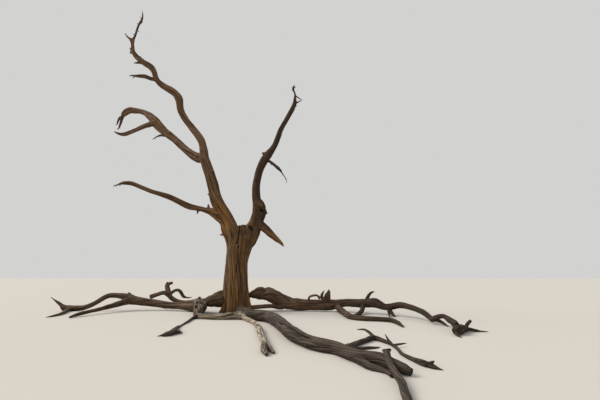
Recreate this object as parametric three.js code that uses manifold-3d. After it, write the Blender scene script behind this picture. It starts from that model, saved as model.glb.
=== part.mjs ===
// A dead desert tree with its own fallen limbs round its foot, in millimetres.
// Z is up, the ground is z = 0, and the origin is the middle of the flat cut under the trunk.
// Seen from the front, along +Y, the long thin bough leans left and the forked-off one right.
import * as THREE from "three";
import Module from "manifold-3d";

const wasm = await Module();
wasm.setup();

// Clearance between two limbs that meet, and how the sweeps are cut into faces.
const CLEARANCE = 0.4;
const RING_SPACING = 3.2; // along a limb, in radii
const MOST_RINGS = 2; // between two points of a way
const CAP_DOME = 0.3; // how far an end stands proud, in radii
const STEEP = 0.8; // a limb that starts steeper than this counts as upright
const STEM_SIDES = 12;
const LIMB_SIDES = 8;
const THIN_SIDES = 6;
const SPUR_SIDES = 4;
const TWIG_SIDES = 3;

// The trunk: a round bole that flares at the root and parts into two fused stems, which meet at
// the crotch. The points are [x, y, z, radius], as on every limb below.
const TRUNK = {
  sides: 21,
  flareHeight: 620,
  flareLobes: 7,
  flareDepth: 0.12,
  bole: [[0, 0, 0, 470], [0, 0, 120, 425], [-14, 0, 300, 392], [-28, 0, 560, 372], [-34, 0, 850, 356],
    [-40, 0, 1180, 338], [-38, 0, 1500, 328], [-15, 0, 1780, 318], [20, 0, 2050, 290]],
  leftStem: [[-110, 0, 1300, 200], [-150, 0, 1620, 195], [-160, 0, 1900, 195], [-185, 0, 2100, 215],
    [-270, 0, 2360, 250], [-390, 0, 2660, 225]],
  rightStem: [[60, 0, 1300, 210], [150, 0, 1620, 190], [225, 0, 1900, 200], [310, 0, 2080, 240],
    [390, 0, 2300, 255], [440, -10, 2420, 235]],
  crotch: [[110, 0, 1900, 190], [120, 0, 2120, 200], [130, 0, 2460, 190]],
};

// Each limb is a way of a few points. It starts inside what carries it and is cut clear of the limbs
// in clearOf. Spurs are fused to it. A lying limb is flattened where it meets the ground.
const BOUGHS = {
  left_bough: {
    way: [[-320, 0, 2540, 195], [-390, 0, 2660, 210], [-710, -90, 3270, 185], [-790, -130, 3570, 170],
      [-950, -200, 4120, 155], [-1120, -260, 4560, 165]],
    spurs: [[[-760, -100, 3370, 70], [-900, -120, 3420, 50], [-975, -130, 3435, 26]]],
    clearOf: ["trunk"],
  },
  left_upper_bough: {
    way: [[-1100, -250, 4480, 120], [-1130, -270, 4740, 120], [-1170, -290, 4960, 105],
      [-1230, -300, 5120, 115], [-1520, -320, 5510, 105], [-1790, -340, 5850, 100],
      [-1910, -360, 6110, 110], [-1980, -390, 6470, 120], [-2090, -400, 6620, 110]],
    clearOf: ["left_bough"],
  },
  left_upper_bough_end: {
    way: [[-2050, -390, 6580, 105], [-2090, -400, 6620, 105], [-2200, -420, 6710, 110],
      [-2490, -450, 6870, 95], [-2650, -480, 7010, 85], [-2730, -510, 7160, 80], [-2780, -540, 7320, 80],
      [-2870, -560, 7450, 90], [-3160, -590, 7640, 85], [-3390, -620, 7850, 75], [-3460, -650, 8000, 60],
      [-3480, -680, 8190, 55], [-3490, -710, 8320, 65]],
    spurs: [[[-3160, -580, 7610, 55], [-3310, -580, 7600, 34], [-3425, -580, 7595, 16]]],
    clearOf: ["left_upper_bough"],
  },
  side_limb: {
    sides: THIN_SIDES,
    way: [[-2690, -480, 7070, 65], [-2810, -600, 7030, 60], [-2940, -760, 7010, 60], [-3040, -810, 6990, 55],
      [-3160, -880, 6950, 38]],
    clearOf: ["left_upper_bough_end"],
  },
  curl_bough: {
    way: [[-1060, -260, 4480, 140], [-1290, -180, 4570, 155], [-1430, -120, 4640, 140],
      [-1810, 10, 4940, 115], [-2200, 160, 5310, 115], [-2610, 300, 5640, 130], [-2860, 390, 5880, 150],
      [-3030, 450, 6070, 155]],
    clearOf: ["left_bough", "left_upper_bough"],
  },
  curl_bough_end: {
    way: [[-2970, 430, 6020, 140], [-3040, 450, 6080, 150], [-3250, 520, 6300, 120], [-3470, 590, 6460, 90],
      [-3680, 650, 6550, 85], [-3910, 720, 6610, 100], [-4090, 780, 6650, 110], [-4250, 830, 6600, 105],
      [-4360, 860, 6510, 80]],
    clearOf: ["curl_bough"],
  },
  under_limb: {
    sides: THIN_SIDES,
    way: [[-2860, 390, 5930, 95], [-2970, 320, 5950, 100], [-3210, 210, 5830, 75], [-3470, 80, 5610, 65],
      [-3730, -60, 5410, 65], [-3820, -100, 5390, 50]],
    clearOf: ["curl_bough", "curl_bough_end"],
  },
  low_left_bough: {
    way: [[-400, 0, 2630, 190], [-600, -70, 2770, 170], [-750, -110, 2860, 145], [-890, -150, 2910, 100],
      [-1030, -200, 2940, 80], [-1150, -230, 2970, 80], [-1420, -320, 3010, 90], [-1970, -490, 3260, 80],
      [-2500, -660, 3410, 60], [-2990, -820, 3590, 60], [-3110, -860, 3590, 55], [-3210, -890, 3580, 44]],
    spurs: [
      [[-1170, -240, 2950, 42], [-1200, -250, 2870, 34], [-1220, -255, 2805, 18]],
      [[-900, -160, 2940, 50], [-910, -160, 3030, 42], [-925, -165, 3115, 24]],
    ],
    clearOf: ["trunk", "left_bough"],
  },
  right_bough: {
    way: [[400, 0, 2330, 205], [510, -40, 2540, 220], [550, -60, 2690, 205], [600, -80, 2840, 210],
      [600, -100, 2980, 205], [570, -120, 3130, 180], [520, -140, 3270, 135], [500, -190, 3620, 120],
      [520, -210, 3800, 115], [610, -260, 4160, 115], [760, -300, 4480, 125], [870, -290, 4650, 125]],
    spurs: [
      [[850, -290, 4650, 70], [760, -320, 4670, 46], [675, -350, 4670, 28]],
      [[690, -120, 3010, 110], [765, -118, 2905, 80], [862, -105, 2832, 18]],
    ],
    clearOf: ["trunk"],
  },
  right_upper_bough: {
    way: [[840, -290, 4600, 110], [870, -290, 4650, 120], [1060, -270, 4950, 85], [1230, -250, 5470, 80],
      [1440, -210, 5900, 75], [1640, -170, 6340, 70], [1670, -160, 6500, 55], [1670, -150, 6640, 40]],
    spurs: [[[1650, -170, 6370, 42], [1710, -150, 6430, 32], [1800, -125, 6505, 22], [1890, -100, 6560, 9]]],
    clearOf: ["right_bough"],
  },
  broken_limb: {
    way: [[470, -30, 2480, 150], [640, -70, 2500, 135], [780, -100, 2400, 125], [920, -140, 2270, 110],
      [1120, -180, 2090, 80], [1280, -220, 1950, 50], [1370, -250, 1840, 14]],
    clearOf: ["trunk", "right_bough"],
  },
};

// Each mass of bare twigs grows from one stem, with the forks that show and spurs by a seeded rule.
const TWIG_MASSES = {
  top_twigs: {
    seed: 11,
    spurs: 7,
    stem: [[-3480, -690, 8270, 42], [-3450, -710, 8360, 40], [-3410, -720, 8440, 32], [-3360, -750, 8600, 30],
      [-3290, -780, 8830, 30], [-3240, -790, 8910, 40], [-3200, -810, 8990, 30], [-3180, -825, 9090, 22],
      [-3190, -850, 9265, 7]],
    forks: [[[-3460, -710, 8330, 38], [-3540, -730, 8350, 32], [-3585, -775, 8360, 26],
      [-3645, -880, 8425, 12]]],
    clearOf: ["left_upper_bough_end"],
  },
  side_limb_twigs: {
    seed: 12,
    spurs: 3,
    stem: [[-3130, -860, 6960, 34], [-3180, -890, 6950, 34], [-3245, -935, 6930, 22], [-3310, -970, 6910, 9]],
    clearOf: ["side_limb"],
  },
  curl_twigs: {
    seed: 13,
    spurs: 5,
    stem: [[-4350, 860, 6540, 60], [-4380, 850, 6380, 55], [-4390, 840, 6240, 42], [-4410, 830, 6110, 32],
      [-4430, 820, 6010, 22], [-4470, 810, 5930, 8]],
    forks: [[[-4380, 850, 6420, 44], [-4440, 880, 6440, 44], [-4510, 920, 6410, 38], [-4565, 955, 6315, 30],
      [-4595, 985, 6245, 22], [-4660, 1010, 6195, 7]]],
    clearOf: ["curl_bough_end"],
  },
  under_limb_twigs: {
    seed: 14,
    spurs: 3,
    stem: [[-3800, -90, 5390, 42], [-3840, -110, 5390, 44], [-3940, -150, 5415, 28], [-4010, -190, 5445, 8]],
    clearOf: ["under_limb"],
  },
  thorn_twigs: {
    seed: 15,
    spurs: 4,
    stem: [[-2600, 300, 5610, 44], [-2620, 270, 5500, 38], [-2720, 205, 5485, 26], [-2780, 160, 5425, 20],
      [-2840, 115, 5355, 16], [-2895, 65, 5280, 7]],
    clearOf: ["curl_bough"],
  },
  low_left_twigs: {
    seed: 16,
    spurs: 3,
    stem: [[-3190, -880, 3580, 36], [-3230, -890, 3570, 36], [-3295, -915, 3535, 22], [-3360, -935, 3495, 14],
      [-3420, -955, 3480, 7]],
    clearOf: ["low_left_bough"],
  },
  right_top_twigs: {
    seed: 17,
    spurs: 4,
    stem: [[1670, -150, 6600, 34], [1670, -150, 6760, 28], [1640, -150, 6845, 28], [1610, -150, 6920, 36],
      [1630, -150, 6990, 32], [1640, -150, 7070, 16]],
    forks: [[[1670, -150, 6705, 26], [1700, -155, 6680, 24], [1785, -175, 6605, 18], [1900, -200, 6515, 8]]],
    clearOf: ["right_upper_bough"],
  },
  right_side_twigs: {
    seed: 18,
    spurs: 5,
    stem: [[770, -300, 4500, 60], [840, -310, 4460, 48], [960, -360, 4370, 42], [1070, -400, 4270, 44],
      [1180, -440, 4160, 50], [1240, -470, 4090, 36], [1300, -500, 3995, 18], [1360, -530, 3905, 12],
      [1410, -560, 3810, 12], [1440, -600, 3675, 7]],
    clearOf: ["right_bough"],
  },
};

// The tree's own limbs that have fallen round its foot, each resting on the ground or on another.
const FALLEN = {
  left_butt: {
    way: [[-250, 60, 320, 205], [-360, 0, 340, 220], [-500, -130, 340, 210], [-640, -300, 320, 165],
      [-780, -480, 290, 115]],
    clearOf: ["trunk"],
  },
  left_knot: {
    sides: 11,
    way: [[-1030, 40, 150, 120], [-1010, -80, 190, 165], [-900, -480, 225, 180], [-800, -960, 150, 140],
      [-700, -1450, 85, 95], [-640, -1700, 50, 55]],
    spurs: [
      [[-910, -420, 300, 95], [-940, -470, 400, 70], [-920, -500, 470, 40]],
      [[-840, -800, 200, 90], [-790, -900, 300, 60], [-800, -930, 370, 30]],
    ],
    clearOf: ["left_butt"],
  },
  left_log: {
    way: [[-990, -90, 120, 130], [-1180, -20, 125, 130], [-1440, 130, 130, 105], [-1700, 270, 145, 90],
      [-2040, 390, 155, 95], [-2690, 500, 225, 105], [-3050, 500, 275, 120], [-3310, 470, 320, 150]],
    spurs: [[[-3250, 490, 330, 90], [-3320, 470, 450, 60], [-3350, 465, 515, 32]]],
    clearOf: ["left_knot"],
  },
  left_upper_arm: {
    way: [[-3250, 470, 350, 110], [-3420, 450, 400, 100], [-3710, 430, 440, 75], [-3940, 410, 420, 70],
      [-4280, 370, 215, 65], [-4540, 330, 100, 70], [-4800, 280, 80, 80], [-4960, 260, 75, 95],
      [-5060, 220, 90, 90], [-5190, 180, 205, 44], [-5430, 100, 400, 9]],
    clearOf: ["left_log"],
  },
  left_lower_arm: {
    sides: THIN_SIDES,
    way: [[-3270, 420, 290, 110], [-3420, 150, 225, 85], [-3560, -200, 165, 65], [-3640, -480, 125, 50],
      [-3730, -880, 90, 44], [-3780, -1220, 60, 44], [-3795, -1500, 25, 28]],
    clearOf: ["left_log", "left_upper_arm"],
  },
  left_low_twig: {
    sides: THIN_SIDES,
    way: [[-4900, 180, 55, 50], [-4800, -100, 45, 48], [-4600, -520, 35, 42], [-4480, -850, 30, 36],
      [-4425, -1180, 20, 24], [-4440, -1410, 10, 8]],
    clearOf: ["left_upper_arm"],
  },
  back_snag: {
    sides: THIN_SIDES,
    way: [[-2710, 540, 385, 65], [-2550, 660, 455, 60], [-2390, 750, 500, 60], [-2280, 810, 440, 70],
      [-2160, 840, 330, 70], [-1980, 820, 250, 60], [-1700, 640, 225, 55], [-1380, 320, 260, 60],
      [-1100, -20, 325, 60]],
    spurs: [
      [[-2240, 810, 400, 70], [-2300, 840, 550, 75], [-2350, 870, 700, 70], [-2360, 900, 810, 36]],
      [[-2340, 880, 740, 46], [-2270, 890, 780, 50], [-2200, 900, 800, 40]],
      [[-2270, 800, 430, 60], [-2190, 840, 490, 48], [-2100, 890, 560, 44], [-2000, 920, 570, 46],
        [-1930, 960, 500, 50], [-1860, 1000, 380, 46], [-1755, 1045, 335, 24], [-1615, 1100, 345, 10]],
    ],
    clearOf: ["left_log", "left_knot", "left_butt"],
  },
  pale_limb: {
    sides: THIN_SIDES,
    way: [[-650, -1640, 60, 60], [-440, -1690, 60, 60], [-250, -1780, 60, 60], [-60, -1800, 65, 65],
      [120, -1780, 70, 70], [310, -1760, 75, 75], [440, -1800, 80, 80]],
    clearOf: ["left_knot"],
  },
  pale_limb_end: {
    sides: THIN_SIDES,
    way: [[400, -1780, 75, 70], [490, -1830, 70, 65], [630, -2120, 50, 50], [780, -2440, 45, 46],
      [930, -2930, 45, 48], [1070, -3610, 55, 55], [1160, -4180, 55, 55], [1310, -5020, 50, 48],
      [1350, -5450, 45, 46], [1405, -5665, 26, 26]],
    spurs: [[[1300, -4880, 50, 42], [1400, -5250, 35, 32], [1485, -5530, 18, 18]]],
    clearOf: ["pale_limb"],
  },
  front_log: {
    sides: 10,
    way: [[140, -300, 70, 105], [210, -520, 75, 120], [340, -950, 85, 120], [500, -1380, 90, 125],
      [700, -1800, 100, 130], [910, -2040, 120, 130], [1090, -2230, 125, 125], [1280, -2710, 125, 125],
      [1440, -3350, 120, 120], [1690, -4480, 110, 110], [1910, -5070, 95, 95], [2110, -5370, 90, 90]],
    clearOf: ["trunk", "pale_limb", "pale_limb_end"],
  },
  front_log_end: {
    way: [[2060, -5300, 85, 85], [2110, -5370, 85, 85], [2300, -5540, 80, 80], [2420, -5800, 75, 75],
      [2530, -6010, 75, 75], [2750, -6180, 75, 75], [2860, -6390, 65, 60], [2920, -6530, 60, 55],
      [2980, -6590, 40, 38]],
    clearOf: ["front_log"],
  },
  front_log_prong: {
    sides: THIN_SIDES,
    way: [[2440, -5870, 60, 50], [2520, -6060, 50, 50], [2570, -6240, 40, 42], [2620, -6350, 35, 36],
      [2690, -6420, 30, 28], [2745, -6500, 25, 24], [2770, -6640, 25, 26]],
    clearOf: ["front_log_end"],
  },
  crossing_branch: {
    sides: THIN_SIDES,
    way: [[2826, -6230, 170, 34], [2797, -6353, 148, 38], [2788, -6449, 118, 38], [2779, -6585, 98, 36],
      [2772, -6719, 84, 36], [2770, -6838, 70, 38], [2767, -6998, 52, 40], [2732, -7185, 40, 38],
      [2695, -7402, 38, 38], [2665, -7560, 32, 26]],
    clearOf: ["front_log_end", "front_log_prong"],
  },
  chain_branch: {
    sides: THIN_SIDES,
    way: [[2410, -5740, 110, 46], [2480, -5500, 85, 44], [2530, -5280, 50, 42], [2650, -5030, 40, 38],
      [2830, -4760, 35, 36], [3020, -4530, 40, 38], [3120, -4700, 30, 30], [3185, -4955, 20, 22],
      [3190, -5300, 20, 22], [3160, -5610, 20, 20], [3195, -5900, 25, 26], [3255, -6170, 32, 36],
      [3310, -6270, 24, 28], [3395, -6355, 5, 4]],
    spurs: [
      [[3010, -4560, 50, 34], [2960, -4430, 110, 22], [2890, -4330, 140, 16], [2790, -4300, 130, 7]],
      [[3185, -4980, 30, 22], [3165, -4850, 75, 16], [3150, -4760, 125, 7]],
      [[3180, -5080, 25, 20], [3290, -5080, 45, 14], [3380, -5060, 50, 6]],
      [[3280, -6230, 35, 28], [3312, -6262, 60, 18], [3332, -6282, 80, 7]],
    ],
    clearOf: ["front_log", "front_log_end"],
  },
  front_strand: {
    sides: THIN_SIDES,
    way: [[2500, -5400, 60, 28], [2585, -5310, 30, 24], [2685, -5260, 20, 20], [2795, -5215, 20, 20],
      [2895, -5180, 15, 14], [2990, -5090, 5, 6]],
    clearOf: ["chain_branch"],
  },
  right_log: {
    sides: 10,
    way: [[330, 410, 450, 85], [450, 430, 475, 130], [610, 440, 500, 165], [760, 440, 455, 150],
      [920, 430, 450, 200], [1160, 420, 330, 200], [1420, 410, 230, 190], [1660, 400, 180, 165],
      [2180, 310, 170, 150], [2710, 180, 185, 145], [2960, 110, 220, 120], [3160, 40, 250, 105]],
    spurs: [
      [[900, 430, 540, 110], [915, 425, 630, 60], [925, 420, 680, 25]],
      [[2090, 280, 310, 40], [2110, 230, 400, 30], [2240, 190, 450, 32], [2340, 170, 445, 30],
        [2420, 150, 370, 40]],
    ],
    clearOf: ["trunk"],
  },
  right_log_end: {
    way: [[3100, 60, 240, 100], [3160, 40, 250, 100], [3420, -170, 260, 110], [3690, -400, 275, 115],
      [3880, -570, 290, 125], [3990, -690, 245, 105], [4090, -800, 210, 85], [4200, -910, 220, 85],
      [4360, -1280, 290, 75], [4500, -1640, 270, 65], [4600, -1980, 225, 60], [4650, -2230, 180, 60],
      [4690, -2560, 85, 55]],
    spurs: [[[3680, -380, 320, 60], [3700, -370, 380, 50], [3750, -370, 480, 42], [3830, -370, 560, 30],
      [3920, -360, 580, 10]]],
    clearOf: ["right_log"],
  },
  right_log_stub: {
    sides: 8,
    way: [[2600, 190, 220, 105], [2620, 150, 330, 108], [2640, 120, 440, 90], [2675, 105, 550, 52],
      [2680, 100, 625, 10]],
    spurs: [[[2560, 140, 320, 70], [2475, 115, 400, 50], [2480, 105, 480, 40], [2550, 100, 600, 9]]],
    clearOf: ["right_log"],
  },
  right_log_prop: {
    sides: THIN_SIDES,
    way: [[3610, -330, 250, 65], [3570, -420, 180, 65], [3510, -600, 100, 60], [3350, -1000, 55, 55],
      [3200, -1300, 40, 40], [3070, -1440, 40, 34]],
    clearOf: ["right_log_end", "right_low_branch"],
  },
  right_low_branch: {
    sides: THIN_SIDES,
    way: [[2930, 120, 150, 90], [2940, -150, 100, 85], [2980, -700, 80, 80], [3000, -1250, 70, 75],
      [3040, -1730, 65, 65], [3180, -1940, 60, 60], [3330, -2040, 55, 55], [3700, -2160, 50, 50],
      [3860, -2320, 50, 50], [3910, -2680, 40, 42], [3895, -3095, 20, 18]],
    clearOf: ["right_log", "right_log_end"],
  },
  right_end_leg: {
    sides: THIN_SIDES,
    way: [[4110, -830, 215, 60], [4170, -860, 160, 60], [4200, -1000, 85, 50], [4200, -1300, 25, 22]],
    spurs: [[[4160, -870, 140, 44], [4110, -1100, 70, 30], [4065, -1350, 20, 12]]],
    clearOf: ["right_log_end"],
  },
  right_foot_limb: {
    sides: THIN_SIDES,
    way: [[300, 70, 100, 70], [480, 110, 120, 60], [760, 140, 140, 55], [1020, 160, 150, 55],
      [1200, 230, 110, 60], [1330, 310, 100, 60]],
    clearOf: ["trunk", "right_log"],
  },
  end_arch: {
    sides: THIN_SIDES,
    way: [[4680, -2500, 100, 50], [4690, -2620, 110, 60], [4720, -2820, 175, 48], [4740, -3010, 210, 42],
      [4740, -3170, 200, 48], [4730, -3380, 170, 60], [4700, -3640, 165, 54], [4650, -3820, 163, 48],
      [4626, -3915, 160, 44]],
    spurs: [
      [[4700, -2660, 120, 46], [4790, -2860, 60, 30], [4830, -3010, 15, 12]],
      [[4740, -3290, 180, 44], [4800, -3330, 90, 30], [4830, -3400, 15, 12]],
    ],
    clearOf: ["right_log_end", "end_piece"],
  },
  end_piece: {
    sides: THIN_SIDES,
    way: [[4515, -4050, 62, 55], [4565, -4030, 82, 82], [4670, -3935, 76, 74], [4841, -3740, 62, 52],
      [4969, -3666, 44, 36], [5083, -3637, 24, 24], [5179, -3662, 12, 12], [5294, -3671, 8, 6]],
    spurs: [
      [[4870, -3690, 60, 40], [4925, -3680, 140, 32], [4990, -3680, 200, 29]],
      [[4540, -4060, 50, 40], [4511, -4150, 40, 26], [4521, -4293, 8, 8]],
    ],
    clearOf: [],
  },
  front_stick: {
    sides: THIN_SIDES,
    way: [[-760, -1300, 70, 44], [-740, -1480, 40, 36], [-720, -1750, 30, 28], [-655, -2310, 25, 24],
      [-610, -2900, 15, 16], [-560, -3300, 30, 30], [-420, -3850, 45, 55], [-430, -4120, 40, 44],
      [-580, -4190, 10, 7]],
    clearOf: ["left_knot"],
  },
};

const BARK = { bough: "#4a3826", twig: "#5a4632", fallen: "#6d6052", pale: "#8f8578", trunk: "#5a4026" };

// A closed mesh of rings along a way, with a domed cap at each end. Grow swells it on all sides.
function sweep(way, { sides = LIMB_SIDES, lying = false, grow = 0, swell = () => 1 } = {}) {
  const curve = curveThrough(way);
  const floor = lying ? 0 : -Infinity;
  const vertices = [];
  const addVertex = ({ x, y, z }) => {
    vertices.push(x, y, Math.max(z, floor));
    return vertices.length / 3 - 1;
  };
  const steep = Math.abs(curve.getTangent(0).z) > STEEP;
  let side = steep ? new THREE.Vector3(1, 0, 0) : new THREE.Vector3(0, 0, 1);
  const rings = ringShares(way).map((share) => {
    const along = curve.getTangent(share);
    side = side.clone().projectOnPlane(along).normalize();
    const across = along.clone().cross(side);
    const push = share === 0 ? -grow : share === 1 ? grow : 0;
    const centre = curve.getPoint(share).addScaledVector(along, push);
    const radius = radiusAt(way, share) + grow;
    return Array.from({ length: sides }, (_, j) => {
      const angle = (2 * Math.PI * j) / sides;
      const out = side.clone().multiplyScalar(Math.cos(angle)).addScaledVector(across, Math.sin(angle));
      return addVertex(centre.clone().addScaledVector(out, radius * swell(angle, centre.z)));
    });
  });
  const cap = (share, sign) => {
    const proud = sign * (grow + CAP_DOME * radiusAt(way, share));
    return addVertex(curve.getPoint(share).addScaledVector(curve.getTangent(share), proud));
  };
  const [foot, tip, last] = [cap(0, -1), cap(1, 1), rings.length - 1];
  const triangles = [];
  for (let j = 0; j < sides; j++) {
    const next = (j + 1) % sides;
    triangles.push(foot, rings[0][next], rings[0][j]);
    triangles.push(tip, rings[last][j], rings[last][next]);
    for (let i = 0; i < last; i++) {
      const [a, b, c, d] = [rings[i][j], rings[i][next], rings[i + 1][next], rings[i + 1][j]];
      triangles.push(a, b, c, a, c, d);
    }
  }
  return solidOf(vertices, triangles);
}

function curveThrough(way) {
  const points = way.map(([x, y, z]) => new THREE.Vector3(x, y, z));
  return new THREE.CatmullRomCurve3(points, false, "centripetal");
}

// Where the rings stand: one at each point of the way, and more between points that are far apart.
function ringShares(way) {
  const shares = [0];
  for (let i = 1; i < way.length; i++) {
    const length = Math.hypot(...[0, 1, 2].map((axis) => way[i][axis] - way[i - 1][axis]));
    const wanted = Math.round(length / (RING_SPACING * 0.5 * (way[i][3] + way[i - 1][3])));
    const count = THREE.MathUtils.clamp(wanted, 1, MOST_RINGS);
    for (let k = 1; k <= count; k++) shares.push((i - 1 + k / count) / (way.length - 1));
  }
  return shares;
}

// The radius at a share of the way, eased from point to point.
function radiusAt(way, share) {
  const place = share * (way.length - 1);
  const i = Math.min(Math.floor(place), way.length - 2);
  return THREE.MathUtils.lerp(way[i][3], way[i + 1][3], THREE.MathUtils.smoothstep(place - i, 0, 1));
}

function solidOf(vertices, triangles) {
  const mesh = new wasm.Mesh({
    numProp: 3,
    vertProperties: new Float32Array(vertices),
    triVerts: new Uint32Array(triangles),
  });
  return new wasm.Manifold(mesh);
}

const fuse = (solids) => solids.reduce((sum, solid) => sum.add(solid));

// A cut can leave a scrap beside the limb, which is dropped.
const largestPiece = (solid) => solid.decompose().reduce((a, b) => (a.volume() > b.volume() ? a : b));

// The trunk: the bole's root lobes fade out at the flare's height, and the ground cuts it flat.
function trunk(grow = 0) {
  const { sides, flareHeight, flareLobes, flareDepth, bole } = TRUNK;
  const lobes = (angle, height) => {
    const fade = Math.max(0, 1 - Math.max(height, 0) / flareHeight);
    return 1 + flareDepth * fade * fade * Math.cos(flareLobes * angle);
  };
  const stems = [TRUNK.leftStem, TRUNK.rightStem, TRUNK.crotch];
  return fuse([
    sweep(bole, { sides, grow, lying: grow === 0, swell: lobes }),
    ...stems.map((stem) => sweep(stem, { sides: STEM_SIDES, grow })),
  ]);
}

// A limb with its spurs. Swollen to cut what meets it, it isn't flattened on the ground.
function limb({ way, spurs = [], sides = LIMB_SIDES }, onGround, grow = 0) {
  const lying = onGround && grow === 0;
  return fuse([
    sweep(way, { sides, lying, grow }),
    ...spurs.map((spur) => sweep(spur, { sides: SPUR_SIDES, lying, grow })),
  ]);
}

// The same numbers each time for the same seed, from 0 to 1.
function seededRandom(seed) {
  const modulus = 2147483647;
  const multiplier = 16807;
  const seedStride = 7919;
  let state = (seed * seedStride) % modulus;
  return () => {
    state = (state * multiplier) % modulus;
    return state / modulus;
  };
}

// The rule for a mass: spurs leave the stem a golden angle apart, leaning towards its tip,
// shorter the nearer to the tip they stand, and bent a little back at their middle.
const GOLDEN_ANGLE = 2.39996;
const SPUR = {
  length: [55, 120],
  lean: 0.9,
  shortest: 0.45, // of its length, at the stem's tip
  from: 0.22, // along the stem
  to: 0.93,
  stagger: 0.6, // of the room between two spurs
  bendAt: 0.55,
  bend: 0.08,
  radii: [0.42, 0.294, 0.105], // root, middle and tip, in radii of the stem
};

function ruleSpurs({ stem, seed, spurs }) {
  const random = seededRandom(seed);
  const curve = curveThrough(stem);
  return Array.from({ length: spurs }, (_, k) => {
    const place = (k + 0.5 + SPUR.stagger * (random() - 0.5)) / spurs;
    const share = THREE.MathUtils.lerp(SPUR.from, SPUR.to, place);
    const root = curve.getPoint(share);
    const along = curve.getTangent(share);
    const side = new THREE.Vector3(along.y, -along.x, 0).normalize();
    side.applyAxisAngle(along, GOLDEN_ANGLE * k + random());
    const heading = side.addScaledVector(along, SPUR.lean * random()).normalize();
    const taper = 1 - (1 - SPUR.shortest) * share;
    const length = THREE.MathUtils.lerp(...SPUR.length, random()) * taper;
    const radius = radiusAt(stem, share);
    const tip = root.clone().addScaledVector(heading, radius + length);
    const middle = root.clone().lerp(tip, SPUR.bendAt).addScaledVector(along, -SPUR.bend * length);
    return [root, middle, tip].map((point, i) => [...point, radius * SPUR.radii[i]]);
  });
}

function twigMass(mass, grow = 0) {
  const { stem, forks = [] } = mass;
  return fuse([
    ...[stem, ...forks].map((way) => sweep(way, { sides: SPUR_SIDES, grow })),
    ...ruleSpurs(mass).map((spur) => sweep(spur, { sides: TWIG_SIDES, grow })),
  ]);
}

function meshOf(name, solid, colour) {
  const { vertProperties, triVerts } = solid.getMesh();
  const geometry = new THREE.BufferGeometry();
  geometry.setAttribute("position", new THREE.BufferAttribute(vertProperties, 3));
  geometry.setIndex(new THREE.BufferAttribute(triVerts, 1));
  geometry.computeVertexNormals();
  const wood = new THREE.MeshStandardMaterial({ color: colour, roughness: 0.9, metalness: 0 });
  const mesh = new THREE.Mesh(geometry, wood);
  mesh.name = name;
  return mesh;
}

// Every solid, with how to make it again swollen by the clearance, to cut what meets it.
const makers = { trunk };
const colours = { trunk: BARK.trunk };
for (const [name, bough] of Object.entries(BOUGHS)) {
  makers[name] = (grow) => limb(bough, false, grow);
  colours[name] = BARK.bough;
}
for (const [name, mass] of Object.entries(TWIG_MASSES)) {
  makers[name] = (grow) => twigMass(mass, grow);
  colours[name] = BARK.twig;
}
for (const [name, fallen] of Object.entries(FALLEN)) {
  makers[name] = (grow) => limb(fallen, true, grow);
  colours[name] = name.startsWith("pale") ? BARK.pale : BARK.fallen;
}

const group = new THREE.Group();
const all = { ...BOUGHS, ...TWIG_MASSES, ...FALLEN };
for (const [name, make] of Object.entries(makers)) {
  const neighbours = all[name]?.clearOf ?? [];
  const cut = neighbours.reduce((left, other) => left.subtract(makers[other](CLEARANCE)), make(0));
  group.add(meshOf(name, largestPiece(cut), colours[name]));
}

export default group;
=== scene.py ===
"""A dead thorn tree with its own fallen limbs: weathered hardwood, split along the grain."""

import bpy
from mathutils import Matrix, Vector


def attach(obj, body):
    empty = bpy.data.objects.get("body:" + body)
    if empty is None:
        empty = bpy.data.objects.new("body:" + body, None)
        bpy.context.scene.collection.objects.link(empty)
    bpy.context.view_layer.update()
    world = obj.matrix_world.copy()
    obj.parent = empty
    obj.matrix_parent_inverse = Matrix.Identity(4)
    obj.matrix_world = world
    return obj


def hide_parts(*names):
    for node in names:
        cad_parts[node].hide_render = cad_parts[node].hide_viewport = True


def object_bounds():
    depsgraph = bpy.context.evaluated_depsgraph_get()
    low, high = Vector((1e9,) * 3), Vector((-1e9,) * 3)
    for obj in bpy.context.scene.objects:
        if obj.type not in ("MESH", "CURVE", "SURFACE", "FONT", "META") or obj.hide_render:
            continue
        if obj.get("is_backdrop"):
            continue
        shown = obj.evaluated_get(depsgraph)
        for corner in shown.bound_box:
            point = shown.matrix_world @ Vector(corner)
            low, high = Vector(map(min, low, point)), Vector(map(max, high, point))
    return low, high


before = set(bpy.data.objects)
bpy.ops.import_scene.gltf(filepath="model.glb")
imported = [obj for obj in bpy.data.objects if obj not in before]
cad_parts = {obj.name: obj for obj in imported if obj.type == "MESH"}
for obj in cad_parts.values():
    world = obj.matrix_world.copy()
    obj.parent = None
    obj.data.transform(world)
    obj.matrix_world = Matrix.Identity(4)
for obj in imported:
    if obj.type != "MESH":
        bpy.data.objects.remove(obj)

import copy
import functools
import math

import bmesh
import bpy
import numpy as np
from mathutils import noise

MM = 0.001
CAD_LOW, CAD_HIGH = (np.array(corner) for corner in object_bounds())

# The photographer's eye: 10.5 m in front of the trunk, 1 m above its foot and tilted up.
EYE = (1.834, -10.48, 1.008)
TILT_UP = 12.25
LENS_MM = 21.0

camera = bpy.data.objects.new("camera", bpy.data.cameras.new("camera"))
camera.data.lens = LENS_MM
camera.location = EYE
camera.rotation_euler = (math.radians(90 + TILT_UP), 0, 0)
bpy.context.scene.collection.objects.link(camera)
bpy.context.scene.camera = camera

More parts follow.
